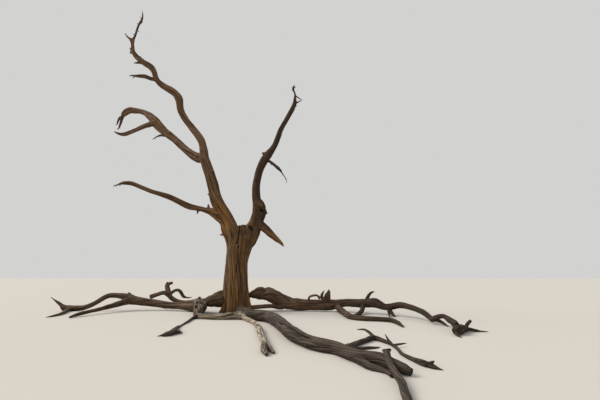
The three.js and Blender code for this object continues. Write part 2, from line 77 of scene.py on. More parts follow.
# The limbs' ways: a few points each, (x, y, z, radius) in millimetres. A limb's own way comes first,
# and its spurs' ways follow. Most are the part's source's. A limb that it splits at a bend is one way
# here, some ends run on deeper into their neighbours, a few radii and spurs differ a little from its
# own, and some spurs and knobs are added.
STANDING = {
    "bole": [
        [(0, 0, 0, 470), (0, 0, 120, 425), (-14, 0, 300, 392), (-28, 0, 560, 372), (-34, 0, 850, 356),
         (-40, 0, 1180, 338), (-38, 0, 1500, 328), (-15, 0, 1780, 318), (20, 0, 2050, 290),
         (35, 30, 2220, 240), (65, 40, 2360, 190), (90, 30, 2450, 150)],
    ],
    "crotch": [[(110, 0, 1900, 190), (120, 0, 2120, 200), (130, 0, 2460, 190)]],
    "left_stem": [
        [(-110, 0, 1300, 200), (-150, 0, 1620, 195), (-160, 0, 1900, 195), (-185, 0, 2100, 215),
         (-270, 0, 2360, 250), (-390, 0, 2660, 218), (-710, -90, 3270, 185), (-790, -130, 3570, 170),
         (-950, -200, 4120, 158), (-1110, -255, 4540, 150)],
        [(-760, -100, 3370, 70), (-900, -120, 3420, 50), (-975, -130, 3435, 26)],
        [(-430, 0, 2235, 44), (-525, -5, 2218, 32), (-580, -10, 2216, 12)],
    ],
    "right_stem": [
        [(60, 0, 1300, 210), (150, 0, 1620, 190), (225, 0, 1900, 200), (310, 0, 2080, 240),
         (390, 0, 2300, 255), (440, -10, 2420, 238), (510, -40, 2540, 222), (550, -60, 2690, 205),
         (600, -80, 2840, 210), (600, -100, 2980, 205), (570, -120, 3130, 180), (520, -140, 3270, 135),
         (500, -190, 3620, 120), (520, -210, 3800, 115), (610, -260, 4160, 115), (760, -300, 4480, 125),
         (870, -290, 4650, 125)],
        [(850, -290, 4650, 70), (760, -320, 4670, 46), (675, -350, 4670, 28)],
        [(600, -260, 4170, 60), (525, -280, 4195, 36), (490, -290, 4205, 16)],
        [(690, -120, 3010, 110), (765, -118, 2905, 80), (862, -105, 2832, 18)],
    ],
    "left_upper": [
        [(-1085, -245, 4450, 138), (-1130, -270, 4740, 130), (-1170, -290, 4960, 112),
         (-1230, -300, 5120, 115), (-1520, -320, 5510, 105), (-1790, -340, 5850, 100),
         (-1910, -360, 6110, 110), (-1980, -390, 6470, 120), (-2090, -400, 6620, 110),
         (-2200, -420, 6710, 110), (-2490, -450, 6870, 95), (-2650, -480, 7010, 85),
         (-2730, -510, 7160, 80), (-2780, -540, 7320, 80), (-2870, -560, 7450, 90),
         (-3160, -590, 7640, 85), (-3390, -620, 7850, 75), (-3460, -650, 8000, 60),
         (-3480, -680, 8190, 55), (-3490, -710, 8320, 65)],
        [(-3160, -580, 7610, 55), (-3310, -580, 7600, 34), (-3425, -580, 7595, 16)],
        [(-3440, -640, 7950, 42), (-3520, -645, 7962, 25), (-3570, -650, 7945, 9)],
        [(-3465, -650, 8000, 46), (-3535, -655, 8030, 36), (-3565, -660, 8075, 18)],
        [(-3455, -640, 7900, 48), (-3535, -645, 7905, 30), (-3560, -650, 7890, 14)],
        [(-3250, -605, 7700, 50), (-3225, -620, 7780, 28), (-3212, -625, 7818, 10)],
        [(-3485, -695, 8200, 52), (-3520, -712, 8290, 50), (-3565, -740, 8350, 34)],
        [(-3480, -690, 8200, 50), (-3455, -705, 8290, 46), (-3435, -712, 8365, 34)],
    ],
    "curl": [
        [(-1080, -225, 4480, 100), (-1290, -180, 4570, 155), (-1430, -120, 4640, 140),
         (-1810, 10, 4940, 115), (-2200, 160, 5310, 115), (-2610, 300, 5640, 130), (-2860, 390, 5880, 150),
         (-3030, 450, 6070, 155), (-3250, 520, 6300, 120), (-3470, 590, 6460, 90), (-3680, 650, 6550, 85),
         (-3910, 720, 6610, 100), (-4090, 780, 6650, 110), (-4250, 830, 6600, 105),
         (-4360, 860, 6510, 80)],
    ],
    "side_limb": [
        [(-2690, -480, 7070, 65), (-2810, -600, 7030, 60), (-2940, -760, 7010, 60),
         (-3040, -810, 6990, 55), (-3160, -880, 6950, 38)],
    ],
    "under_limb": [
        [(-2850, 400, 5920, 66), (-2970, 320, 5950, 98), (-3210, 210, 5830, 75), (-3470, 80, 5610, 65),
         (-3730, -60, 5410, 65), (-3820, -100, 5390, 50)],
    ],
    "low_left_bough": [
        [(-400, 0, 2630, 190), (-600, -70, 2770, 170), (-750, -110, 2860, 145), (-890, -150, 2910, 100),
         (-1030, -200, 2940, 80), (-1150, -230, 2970, 80), (-1420, -320, 3010, 90),
         (-1970, -490, 3260, 80), (-2500, -660, 3410, 60), (-2990, -820, 3590, 60),
         (-3110, -860, 3590, 55), (-3210, -890, 3580, 44)],
        [(-1170, -240, 2950, 42), (-1200, -250, 2870, 34), (-1220, -255, 2805, 18)],
        [(-900, -160, 2940, 50), (-910, -160, 3030, 42), (-925, -165, 3115, 24)],
    ],
    "right_upper_bough": [
        [(840, -290, 4600, 110), (870, -290, 4650, 120), (1060, -270, 4950, 85), (1230, -250, 5470, 80),
         (1440, -210, 5900, 75), (1640, -170, 6340, 70), (1670, -160, 6500, 55), (1670, -150, 6640, 40)],
        [(1650, -170, 6370, 42), (1710, -150, 6430, 32), (1800, -125, 6505, 22), (1890, -100, 6560, 9)],
        [(1650, -170, 6320, 45), (1722, -170, 6335, 26), (1746, -170, 6340, 10)],
    ],
    "broken_limb": [
        [(470, -30, 2480, 150), (640, -70, 2500, 135), (780, -100, 2400, 125), (920, -140, 2270, 110),
         (1120, -180, 2090, 80), (1280, -220, 1950, 50), (1370, -250, 1840, 14)],
    ],
}
FALLEN = {
    "left_butt": [
        [(-250, 60, 320, 205), (-360, 0, 340, 220), (-500, -130, 340, 210), (-640, -300, 320, 165),
         (-780, -480, 290, 115)],
        [(-260, 60, 440, 120), (-400, -30, 485, 125), (-540, -150, 450, 110), (-640, -260, 400, 70)],
    ],
    "left_knot": [
        [(-1030, 40, 150, 120), (-1010, -80, 190, 165), (-900, -480, 225, 180), (-800, -960, 150, 140),
         (-700, -1450, 85, 95), (-640, -1700, 50, 55)],
        [(-910, -420, 300, 95), (-945, -470, 370, 66), (-925, -500, 430, 40)],
        [(-840, -800, 200, 90), (-790, -900, 290, 60), (-800, -930, 350, 30)],
    ],
    "left_log": [
        [(-990, -90, 120, 130), (-1180, -20, 125, 130), (-1440, 130, 130, 105), (-1700, 270, 145, 90),
         (-2040, 390, 155, 95), (-2690, 500, 225, 105), (-3050, 500, 275, 120), (-3310, 470, 320, 150)],
        [(-3250, 490, 330, 90), (-3320, 470, 450, 60), (-3350, 465, 515, 32)],
    ],
    "left_upper_arm": [
        [(-3250, 470, 350, 110), (-3420, 450, 400, 100), (-3710, 430, 440, 75), (-3940, 410, 420, 70),
         (-4280, 370, 215, 65), (-4540, 330, 100, 70), (-4800, 280, 80, 80), (-4960, 260, 75, 95),
         (-5060, 220, 90, 90), (-5190, 180, 205, 44), (-5430, 100, 400, 9)],
    ],
    "left_lower_arm": [
        [(-3270, 420, 290, 110), (-3420, 150, 225, 85), (-3560, -200, 165, 65), (-3640, -480, 125, 50),
         (-3730, -880, 90, 44), (-3780, -1220, 60, 44), (-3795, -1500, 25, 28)],
    ],
    "left_low_twig": [
        [(-4900, 180, 55, 50), (-4800, -100, 45, 48), (-4600, -520, 35, 42), (-4480, -850, 30, 36),
         (-4425, -1180, 20, 24), (-4440, -1410, 10, 8)],
    ],
    "back_snag": [
        [(-2710, 540, 385, 65), (-2550, 660, 455, 60), (-2390, 750, 500, 60), (-2280, 810, 440, 70),
         (-2160, 840, 330, 70), (-1980, 820, 250, 60), (-1700, 640, 225, 55), (-1380, 320, 260, 60),
         (-1100, -20, 325, 60)],
        [(-2240, 810, 400, 70), (-2300, 840, 550, 75), (-2350, 870, 700, 70), (-2360, 900, 810, 36)],
        [(-2340, 880, 740, 46), (-2270, 890, 780, 50), (-2200, 900, 800, 40)],
        [(-2270, 800, 430, 60), (-2190, 840, 490, 48), (-2100, 890, 560, 44), (-2000, 920, 570, 46),
         (-1930, 960, 500, 50), (-1860, 1000, 380, 46), (-1755, 1045, 335, 24), (-1615, 1100, 345, 10)],
    ],
    "pale_limb": [
        [(-650, -1640, 60, 60), (-440, -1690, 60, 60), (-250, -1780, 60, 60), (-60, -1800, 65, 65),
         (120, -1780, 70, 70), (310, -1760, 75, 75), (440, -1800, 80, 80), (490, -1830, 70, 65),
         (630, -2120, 50, 50), (780, -2440, 45, 46), (930, -2930, 45, 48), (1070, -3610, 55, 55),
         (1160, -4180, 55, 55), (1310, -5020, 50, 48), (1350, -5450, 45, 46), (1405, -5665, 26, 26)],
        [(1300, -4880, 50, 42), (1400, -5250, 35, 32), (1485, -5530, 18, 18)],
    ],
    "front_log": [
        [(140, -300, 70, 105), (210, -520, 75, 120), (340, -950, 85, 120), (500, -1380, 90, 125),
         (700, -1800, 100, 130), (910, -2040, 120, 130), (1090, -2230, 125, 125), (1280, -2710, 125, 125),
         (1440, -3350, 120, 120), (1690, -4480, 110, 110), (1910, -5070, 95, 95), (2110, -5370, 90, 90),
         (2300, -5540, 80, 80), (2420, -5800, 75, 75), (2530, -6010, 75, 75), (2750, -6180, 75, 75),
         (2860, -6390, 65, 60), (2920, -6530, 60, 55), (2980, -6590, 40, 38)],
    ],
    "front_log_prong": [
        [(2440, -5870, 60, 50), (2520, -6060, 50, 50), (2570, -6240, 40, 42), (2620, -6350, 35, 36),
         (2690, -6420, 30, 28), (2745, -6500, 25, 24), (2770, -6640, 25, 26)],
    ],
    "crossing_branch": [
        [(2826, -6230, 170, 34), (2797, -6353, 148, 38), (2788, -6449, 118, 38), (2779, -6585, 98, 36),
         (2772, -6719, 84, 36), (2770, -6838, 70, 38), (2767, -6998, 52, 40), (2732, -7185, 40, 38),
         (2695, -7402, 38, 38), (2665, -7560, 32, 26)],
        [(2815, -6270, 166, 30), (2838, -6240, 182, 26), (2868, -6225, 190, 12)],
        [(2812, -6270, 164, 30), (2790, -6240, 180, 24), (2772, -6225, 182, 10)],
    ],
    "chain_branch": [
        [(2410, -5740, 110, 46), (2480, -5500, 85, 44), (2530, -5280, 50, 42), (2650, -5030, 40, 38),
         (2830, -4760, 35, 36), (3020, -4530, 40, 38), (3120, -4700, 30, 30), (3185, -4955, 20, 22),
         (3190, -5300, 20, 22), (3160, -5610, 20, 20), (3195, -5900, 25, 26), (3255, -6170, 32, 36),
         (3310, -6270, 24, 28), (3395, -6355, 5, 4)],
        [(3010, -4560, 50, 34), (2960, -4430, 110, 22), (2890, -4330, 140, 16), (2790, -4300, 130, 7)],
        [(3185, -4980, 30, 22), (3165, -4850, 75, 16), (3150, -4760, 125, 7)],
        [(3180, -5080, 25, 20), (3290, -5080, 45, 14), (3380, -5060, 50, 6)],
        [(3280, -6230, 35, 28), (3312, -6262, 60, 18), (3332, -6282, 80, 7)],
    ],
    "front_strand": [
        [(2500, -5400, 60, 28), (2585, -5310, 30, 24), (2685, -5260, 20, 20), (2795, -5215, 20, 20),
         (2895, -5180, 15, 14), (2990, -5090, 5, 6)],
    ],
    "right_log": [
        [(330, 410, 450, 85), (450, 430, 475, 130), (610, 440, 500, 165), (760, 440, 455, 150),
         (920, 430, 450, 200), (1160, 420, 330, 200), (1420, 410, 230, 190), (1660, 400, 180, 165),
         (2180, 310, 170, 150), (2710, 180, 185, 145), (2960, 110, 220, 120), (3160, 40, 250, 105),
         (3420, -170, 260, 110), (3690, -400, 275, 115), (3880, -570, 290, 125), (3990, -690, 245, 105),
         (4090, -800, 210, 85), (4200, -910, 220, 85), (4360, -1280, 290, 75), (4500, -1640, 270, 65),
         (4600, -1980, 225, 60), (4650, -2230, 180, 60), (4690, -2560, 85, 55)],
        [(870, 430, 520, 150), (900, 428, 600, 92), (922, 424, 670, 30)],
        [(1010, 430, 480, 150), (1000, 428, 560, 90), (975, 425, 618, 40)],
        [(2090, 280, 310, 40), (2110, 230, 400, 30), (2240, 190, 450, 32), (2340, 170, 445, 30),
         (2420, 150, 370, 40)],
        [(3680, -380, 320, 60), (3700, -370, 380, 50), (3750, -370, 480, 42), (3830, -370, 560, 30),
         (3920, -360, 580, 10)],
    ],
    "right_log_stub": [
        [(2600, 190, 220, 105), (2620, 150, 330, 108), (2640, 120, 440, 90), (2675, 105, 550, 52),
         (2680, 100, 625, 10)],
        [(2560, 140, 320, 70), (2475, 115, 400, 50), (2480, 105, 480, 40), (2550, 100, 600, 9)],
    ],
    "right_log_prop": [
        [(3610, -330, 250, 65), (3570, -420, 180, 65), (3510, -600, 100, 60), (3350, -1000, 55, 55),
         (3200, -1300, 40, 40), (3070, -1440, 40, 34)],
    ],
    "right_low_branch": [
        [(2930, 120, 150, 90), (2940, -150, 100, 85), (2980, -700, 80, 80), (3000, -1250, 70, 75),
         (3040, -1730, 65, 65), (3180, -1940, 60, 60), (3330, -2040, 55, 55), (3700, -2160, 50, 50),
         (3860, -2320, 50, 50), (3910, -2680, 40, 42), (3895, -3095, 20, 18)],
    ],
    "right_end_leg": [
        [(4110, -830, 215, 60), (4170, -860, 160, 60), (4200, -1000, 85, 50), (4200, -1300, 25, 22)],
        [(4160, -870, 140, 44), (4110, -1100, 70, 30), (4065, -1350, 20, 12)],
    ],
    "right_foot_limb": [
        [(300, 70, 100, 70), (480, 110, 120, 60), (760, 140, 140, 55), (1020, 160, 150, 55),
         (1200, 230, 110, 60), (1330, 310, 100, 60)],
    ],
    "end_arch": [
        [(4680, -2500, 100, 50), (4690, -2620, 110, 60), (4720, -2820, 175, 48), (4740, -3010, 210, 42),
         (4740, -3170, 200, 48), (4730, -3380, 170, 60), (4700, -3640, 165, 54), (4650, -3820, 163, 48),
         (4626, -3915, 160, 44)],
        [(4700, -2660, 120, 46), (4790, -2860, 60, 30), (4830, -3010, 15, 12)],
        [(4740, -3290, 180, 44), (4800, -3330, 90, 30), (4830, -3400, 15, 12)],
    ],
    "end_piece": [
        [(4515, -4050, 62, 55), (4565, -4030, 82, 82), (4670, -3935, 76, 74), (4841, -3740, 62, 52),
         (4969, -3666, 44, 36), (5083, -3637, 24, 24), (5179, -3662, 12, 12), (5294, -3671, 8, 6)],
        [(4870, -3690, 60, 40), (4925, -3680, 140, 32), (4990, -3680, 200, 29)],
        [(4540, -4060, 50, 40), (4511, -4150, 40, 26), (4521, -4293, 8, 8)],
    ],
    "front_stick": [
        [(-760, -1300, 70, 44), (-740, -1480, 40, 36), (-720, -1750, 30, 28), (-655, -2310, 25, 24),
         (-610, -2900, 15, 16), (-560, -3300, 30, 30), (-420, -3850, 45, 55), (-430, -4120, 40, 44),
         (-580, -4190, 10, 7)],
        [(-420, -3850, 45, 48), (-330, -3900, 40, 34), (-250, -3930, 24, 12)],
    ],
}

# Strands that wind round a fallen limb: from and to as shares of its length, turned from and to in
# degrees from its upper side, and how thick they are in millimetres.
STRANDS = {
    "left_knot": [
        (0.02, 0.7, 75, 35, 62), (0.1, 0.9, -75, -20, 52), (0.05, 0.4, 5, -60, 30),
        (0.3, 1.0, 20, 60, 36), (0.45, 0.8, 10, -50, 24), (0.0, 0.35, 40, 120, 44),
    ],
    "pale_limb": [
        (0.12, 0.24, 90, -60, 30), (0.11, 0.22, -50, 70, 30), (0.15, 0.25, 30, -40, 34),
        (0.16, 0.23, -80, 20, 26), (0.0, 0.1, 60, -30, 18), (0.88, 0.98, 60, -50, 20),
        (0.9, 0.99, -60, 30, 18),
    ],
    "front_log": [
        (0.0, 0.15, 80, -60, 40), (0.01, 0.17, -70, 60, 42), (0.04, 0.2, 20, -80, 36),
        (0.08, 0.22, 100, 10, 34),
    ],
    "right_log": [
        (0.0, 0.14, 60, -50, 54), (0.0, 0.1, -70, 40, 46), (0.03, 0.18, 110, 20, 50),
        (0.08, 0.22, -20, 70, 46), (0.0, 0.08, 120, 200, 40), (0.1, 0.25, -90, -20, 44),
    ],
    "end_piece": [(0.0, 0.45, 70, -40, 26), (0.05, 0.5, -60, 60, 26), (0.15, 0.6, 110, 20, 20)],
}

# The masses of twigs: each one's stem, and then the stems that fork from it. Their seeds count up.
TWIG_MASSES = {
    "top_twigs": [
        [(-3480, -690, 8270, 42), (-3450, -710, 8360, 40), (-3410, -720, 8440, 32),
         (-3360, -750, 8600, 30), (-3290, -780, 8830, 30), (-3240, -790, 8910, 40),
         (-3200, -810, 8990, 30), (-3180, -825, 9090, 22), (-3190, -850, 9265, 7)],
        [(-3460, -710, 8330, 38), (-3540, -730, 8350, 32), (-3585, -775, 8360, 26),
         (-3645, -880, 8425, 12)],
    ],
    "side_limb_twigs": [
        [(-3130, -860, 6960, 34), (-3180, -890, 6950, 34), (-3245, -935, 6930, 22),
         (-3310, -970, 6910, 9)],
    ],
    "curl_twigs": [
        [(-4350, 860, 6540, 60), (-4380, 850, 6380, 55), (-4390, 840, 6240, 42), (-4410, 830, 6110, 32),
         (-4430, 820, 6010, 22), (-4470, 810, 5930, 8)],
        [(-4380, 850, 6420, 44), (-4440, 880, 6440, 44), (-4510, 920, 6410, 38), (-4565, 955, 6315, 30),
         (-4595, 985, 6245, 22), (-4660, 1010, 6195, 7)],
    ],
    "under_limb_twigs": [
        [(-3800, -90, 5390, 42), (-3840, -110, 5390, 44), (-3940, -150, 5415, 28), (-4010, -190, 5445, 8)],
    ],
    "thorn_twigs": [
        [(-2600, 300, 5610, 44), (-2620, 270, 5500, 38), (-2720, 205, 5485, 26), (-2780, 160, 5425, 20),
         (-2840, 115, 5355, 16), (-2895, 65, 5280, 7)],
    ],
    "low_left_twigs": [
        [(-3190, -880, 3580, 36), (-3230, -890, 3570, 36), (-3295, -915, 3535, 22),
         (-3360, -935, 3495, 14), (-3420, -955, 3480, 7)],
    ],
    "right_top_twigs": [
        [(1670, -150, 6600, 34), (1670, -150, 6760, 28), (1640, -150, 6845, 28), (1610, -150, 6920, 36),
         (1630, -150, 6990, 32), (1640, -150, 7070, 16)],
        [(1670, -150, 6705, 26), (1700, -155, 6680, 24), (1785, -175, 6605, 18), (1900, -200, 6515, 8)],
    ],
    "right_side_twigs": [
        [(770, -300, 4500, 60), (840, -310, 4460, 48), (960, -360, 4370, 42), (1070, -400, 4270, 44),
         (1180, -440, 4160, 50), (1240, -470, 4090, 36), (1300, -500, 3995, 18), (1360, -530, 3905, 12),
         (1410, -560, 3810, 12), (1440, -600, 3675, 7)],
    ],
}

# How many spurs the rule adds to each one's stem
TWIG_SPURS = {
    "top_twigs": 7, "side_limb_twigs": 3, "curl_twigs": 5, "under_limb_twigs": 3, "thorn_twigs": 4,
    "low_left_twigs": 3, "right_top_twigs": 4, "right_side_twigs": 5,
}
FIRST_TWIG_SEED = 11

# How a limb is drawn. Lengths from here on are in metres where nothing else is said.
FLARE = {"height": 0.62, "lobes": 7, "depth": 0.12}  # the root's lobes, as in the part's source
BELOW_GROUND = (0, 0, -160, 500)  # carries the bole past the flat cut, which is made last
STEEP = 0.8  # a limb that starts steeper than this has X for its first side, and others have Z
CAP_DOME = 0.3  # how far a limb's end stands proud, in radii
CAP_TURNS = np.radians([35, 65])  # where the end's rings lie on its dome
SPLINTERS = 9  # round a ragged end
SPLINTER_TEAR, SPLINTER_SPREAD = 0.6, 0.6  # how far back it is torn, and how unevenly
SPLINTER_RINGS = ((-3, 0.35), (-2, 1.0), (-1, 0.8))  # its last rings, and their share of that
WOUND_SAMPLES = 9  # points on the way of a winding strand
WOUND_DEPTH, WOUND_TOP = 0.7, 0.95  # where its ends and its middle lie, in the limb's radii
WOUND_END = 0.5  # how thick its ends are, in its full thickness
KNOT_SPACING = 1.0  # of limb to a knot
KNOT_STRAY = (0.2, 0.8)  # where in its stretch of limb a knot lies
KNOT_REACH = (0.3, 0.6)  # of the limb's radius
STREAK_ROWS = 61  # heights along each column of streaks

# What is added to a limb's seed for each thing that is strewn over it
SEED = {
    "waver": 1, "strands": 2, "fine": 3, "flutes": 4, "lumps": 5, "spurs": 5, "rifts": 7, "warmth": 9,
    "clefts": 10, "knots": 20, "splinters": 40, "stems": 50, "twigs": 90,
}


def unit(vectors):
    return vectors / np.linalg.norm(vectors, axis=-1, keepdims=True)


def ease(share):
    share = np.clip(share, 0, 1)
    return share * share * (3 - 2 * share)


def bell(far):
    """1 where far is 0, and next to nothing from 2 on."""
    return np.exp(-(far**2))


def root_distance(a, b):
    return np.linalg.norm(a - b, axis=1, keepdims=True) ** 0.5


def curve_points(points, shares):
    """Places on the centripetal curve through the points, as the part's source draws it."""
    reach = np.vstack([2 * points[0] - points[1], points, 2 * points[-1] - points[-2]])
    place = np.asarray(shares) * (len(points) - 1)
    i = np.clip(np.floor(place).astype(int), 0, len(points) - 2)
    t = (place - i)[:, None]
    a, b, c, d = (reach[i + k] for k in range(4))
    before, here, after = root_distance(a, b), root_distance(b, c), root_distance(c, d)
    leave = ((b - a) / before - (c - a) / (before + here) + (c - b) / here) * here
    enter = ((c - b) / here - (d - b) / (here + after) + (d - c) / after) * here
    return b + t * leave + t**2 * (3 * (c - b) - 2 * leave - enter) + t**3 * (2 * (b - c) + leave + enter)


def even_shares(points, step):
    """Shares of the way from the first point to the last, so that samples lie about a step apart."""
    shares = [np.zeros(1)]
    for i in range(len(points) - 1):
        count = max(1, round(np.linalg.norm(points[i + 1] - points[i]) / step))
        shares.append((i + np.arange(1, count + 1) / count) / (len(points) - 1))
    return np.concatenate(shares)


def sides_across(along):
    """Directions across a path that turn with it and never spin round it."""
    side = np.array([1.0, 0, 0]) if abs(along[0][2]) > STEEP else np.array([0, 0, 1.0])
    sides = []
    for direction in along:
        side = side - direction * (side @ direction)
        side = side / np.linalg.norm(side)
        sides.append(side)
    return np.array(sides)


class Path:
    """A limb's line, sampled at even steps, with its radius and two directions across it."""

    def __init__(
        self, way, step, seed=0, gnarl=1.0, splits=(), creased=True, broken=(0, 0), flared=False
    ):
        way = np.array(way, float) * MM
        points, radii = way[:, :3], way[:, 3]
        self.seed, self.gnarl, self.splits = seed, gnarl, splits
        self.creased, self.broken, self.flared = creased, broken, flared
        shares = even_shares(points, step)
        place = shares * (len(points) - 1)
        i = np.clip(np.floor(place).astype(int), 0, len(points) - 2)
        self.radius = radii[i] + (radii[i + 1] - radii[i]) * ease(place - i)
        self.point = curve_points(points, shares)
        self.along = unit(np.gradient(self.point, axis=0))
        steps = np.linalg.norm(np.diff(self.point, axis=0), axis=1)
        self.length = np.concatenate([[0], np.cumsum(steps)])
        self.side = sides_across(self.along)
        self.across = np.cross(self.along, self.side)
        self.thickness = float(np.average(self.radius[:-1], weights=steps))
        self.knots = self.seeded_knots()

    def seeded_knots(self):
        """Knots strewn over the limb: length along it, turn round it and reach."""
        random = np.random.default_rng(self.seed + SEED["knots"])
        spacing = KNOT_SPACING / self.gnarl
        count = int(self.length[-1] / spacing)
        lengths = (np.arange(count) + random.uniform(*KNOT_STRAY, count)) * spacing
        turns = random.uniform(0, 1, count)
        reaches = random.uniform(*KNOT_REACH, count) * self.thickness * self.gnarl**0.5
        return list(zip(lengths, turns, reaches))

    def cut(self, first, last):
        """A shorter stretch of the path, with the same lengths and directions."""
        part = copy.copy(self)
        for name in ("radius", "point", "along", "length", "side", "across"):
            setattr(part, name, getattr(self, name)[first:last])
        return part


def streaks(along, around, columns, seed):
    """Noise from -1 to 1 in long streaks: each of the columns round a limb has heights of its own."""
    random = np.random.default_rng(seed)
    heights = random.uniform(-1, 1, (columns, STREAK_ROWS))
    shifts = random.uniform(0, STREAK_ROWS, columns)

    def column(j):
        j = j % columns
        place = (along + shifts[j]) % STREAK_ROWS
        i = np.floor(place).astype(int) % STREAK_ROWS
        t = ease(place - np.floor(place))
        return heights[j, i] * (1 - t) + heights[j, (i + 1) % STREAK_ROWS] * t

    j = np.floor(around).astype(int)
    t = ease(around - j)
    return column(j) * (1 - t) + column(j + 1) * t


def flare(angle, height):
    """How much wider the root lobes make the bole."""
    fade = np.clip(1 - np.maximum(height, 0) / FLARE["height"], 0, 1)
    return 1 + FLARE["depth"] * fade**2 * np.cos(FLARE["lobes"] * angle)


def wound(path, first, last, turned_from, turned_to, thick):
    """The way of a strand that comes out of a limb, winds along its surface and goes in again."""
    share = np.linspace(0, 1, WOUND_SAMPLES)
    at = (first + share * (last - first)) * path.length[-1]
    i = np.searchsorted(path.length, at).clip(0, len(path.length) - 1)
    turn = np.radians(turned_from + share * (turned_to - turned_from))[:, None]
    out = np.cos(turn) * path.side[i] + np.sin(turn) * path.across[i]
    bulge = np.sin(math.pi * share)
    lift = path.radius[i] * (WOUND_DEPTH + (WOUND_TOP - WOUND_DEPTH) * bulge)
    radii = thick * (WOUND_END + (1 - WOUND_END) * bulge)
    places = (path.point[i] + out * lift[:, None]) / MM
    return np.column_stack([places, radii])


def rounded(path, out, radius, end, turn, way):
    """One ring of the domed cap at a tube's end."""
    push = way * math.sin(turn) * CAP_DOME * path.radius[end]
    return path.point[end] + path.along[end] * push + out[end] * (radius[end] * math.cos(turn))[:, None]


def tube(path, sides, ragged=0.0):
    """A closed tube round a path, as vertices and faces. A ragged one ends in splinters."""
    angle = np.arange(sides) * 2 * math.pi / sides
    cosine, sine = np.cos(angle)[:, None], np.sin(angle)[:, None]
    out = cosine * path.side[:, None] + sine * path.across[:, None]
    radius = np.repeat(path.radius[:, None], sides, axis=1)
    if path.flared:
        radius = radius * flare(angle, path.point[:, 2:3])
    rings = path.point[:, None] + out * radius[..., None]
    first = [rounded(path, out, radius, 0, turn, -1) for turn in CAP_TURNS[::-1]]
    last = [rounded(path, out, radius, -1, turn, 1) for turn in CAP_TURNS]
    rings = np.concatenate([first, rings, last])
    tip = path.point[-1] + path.along[-1] * path.radius[-1] * CAP_DOME
    if ragged:
        seed = path.seed + SEED["splinters"]
        splinters = streaks(np.zeros(sides), angle / math.tau * SPLINTERS, SPLINTERS, seed)
        shift = -ragged * path.radius[-1] * (SPLINTER_TEAR + SPLINTER_SPREAD * splinters)
        for ring, share in SPLINTER_RINGS:
            rings[ring] += path.along[-1] * (shift * share)[:, None]
        tip = tip - path.along[-1] * path.radius[-1] * ragged
    foot = path.point[0] - path.along[0] * path.radius[0] * CAP_DOME
    count = len(rings)
    vertices = np.concatenate([rings.reshape(-1, 3), [foot, tip]])
    i, j = np.meshgrid(np.arange(count - 1), np.arange(sides), indexing="ij")
    here, beside = i * sides + j, i * sides + (j + 1) % sides
    quads = np.stack([here, beside, beside + sides, here + sides], axis=-1).reshape(-1, 4)
    j = np.arange(sides)
    beside, top = (j + 1) % sides, (count - 1) * sides
    foot_fan = np.stack([np.full(sides, count * sides), beside, j], axis=1)
    tip_fan = np.stack([np.full(sides, count * sides + 1), top + j, top + beside], axis=1)
    return vertices, quads.tolist() + foot_fan.tolist() + tip_fan.tolist()


def mesh_of(name, shapes):
    """One mesh of several shapes, each its vertices and its faces."""
    vertices, faces, start = [], [], 0
    for shape_vertices, shape_faces in shapes:
        vertices.append(shape_vertices)
        faces += [[start + corner for corner in face] for face in shape_faces]
        start += len(shape_vertices)
    mesh = bpy.data.meshes.new(name)
    mesh.from_pydata(np.concatenate(vertices).tolist(), [], faces)
    mesh.update()
    return mesh


def linked(name, data):
    piece = bpy.data.objects.new(name, data)
    bpy.context.scene.collection.objects.link(piece)
    return piece


def applied(rough, helpers=()):
    """The mesh of an object with its modifiers, which takes the object and its helpers away."""
    mesh = bpy.data.meshes.new_from_object(rough.evaluated_get(bpy.context.evaluated_depsgraph_get()))
    for piece in (rough, *helpers):
        bpy.data.objects.remove(piece)
    return mesh


def one_skin(name, tubes, voxel):
    """The tubes fused into one skin of even faces."""
    rough = linked(name, mesh_of(name, tubes))
    skin = rough.modifiers.new("skin", "REMESH")
    skin.mode = "VOXEL"
    skin.voxel_size = voxel
    return applied(rough)


def welded(name, tubes):
    """The first tube with the others joined to it, each face kept as it is."""
    rough = linked(name, mesh_of(name, tubes[:1]))
    helpers = [linked(name + "_spur", mesh_of(name, [extra])) for extra in tubes[1:]]
    for helper in helpers:
        join = rough.modifiers.new("join", "BOOLEAN")
        join.operation = "UNION"
        join.solver = "MANIFOLD"
        join.object = helper
    return applied(rough, helpers)


def values_of(items, name, kind=float, width=1):
    """One property of all of a mesh's vertices, edges, faces or corners."""
    values = np.empty(len(items) * width, kind)
    items.foreach_get(name, values)
    return values.reshape(-1, width) if width > 1 else values


def places_of(mesh):
    return values_of(mesh.vertices, "co", width=3)


def move_to(mesh, places):
    mesh.vertices.foreach_set("co", places.ravel())
    mesh.update()


def soften(places, mesh, share, rounds):
    """Draws each vertex halfway towards its neighbours in each round, times its own share."""
    a, b = values_of(mesh.edges, "vertices", int, 2).T
    size = len(places)
    count = np.maximum(np.bincount(a, minlength=size) + np.bincount(b, minlength=size), 1)
    for _ in range(rounds):
        middle = np.empty_like(places)
        for axis in range(3):
            around = np.bincount(a, places[b, axis], size) + np.bincount(b, places[a, axis], size)
            middle[:, axis] = around / count
        places = places + 0.5 * share[:, None] * (middle - places)
    return places


NEAR = 0.02  # how soft the change from one limb's grain to the next is
FELT = (1.8, 0.05)  # how far round a limb its grain is felt: in its thickest radii, and besides
UNFELT = 9.0  # the gap that is noted beyond that
BLOCK = 20000  # vertices that are looked at together


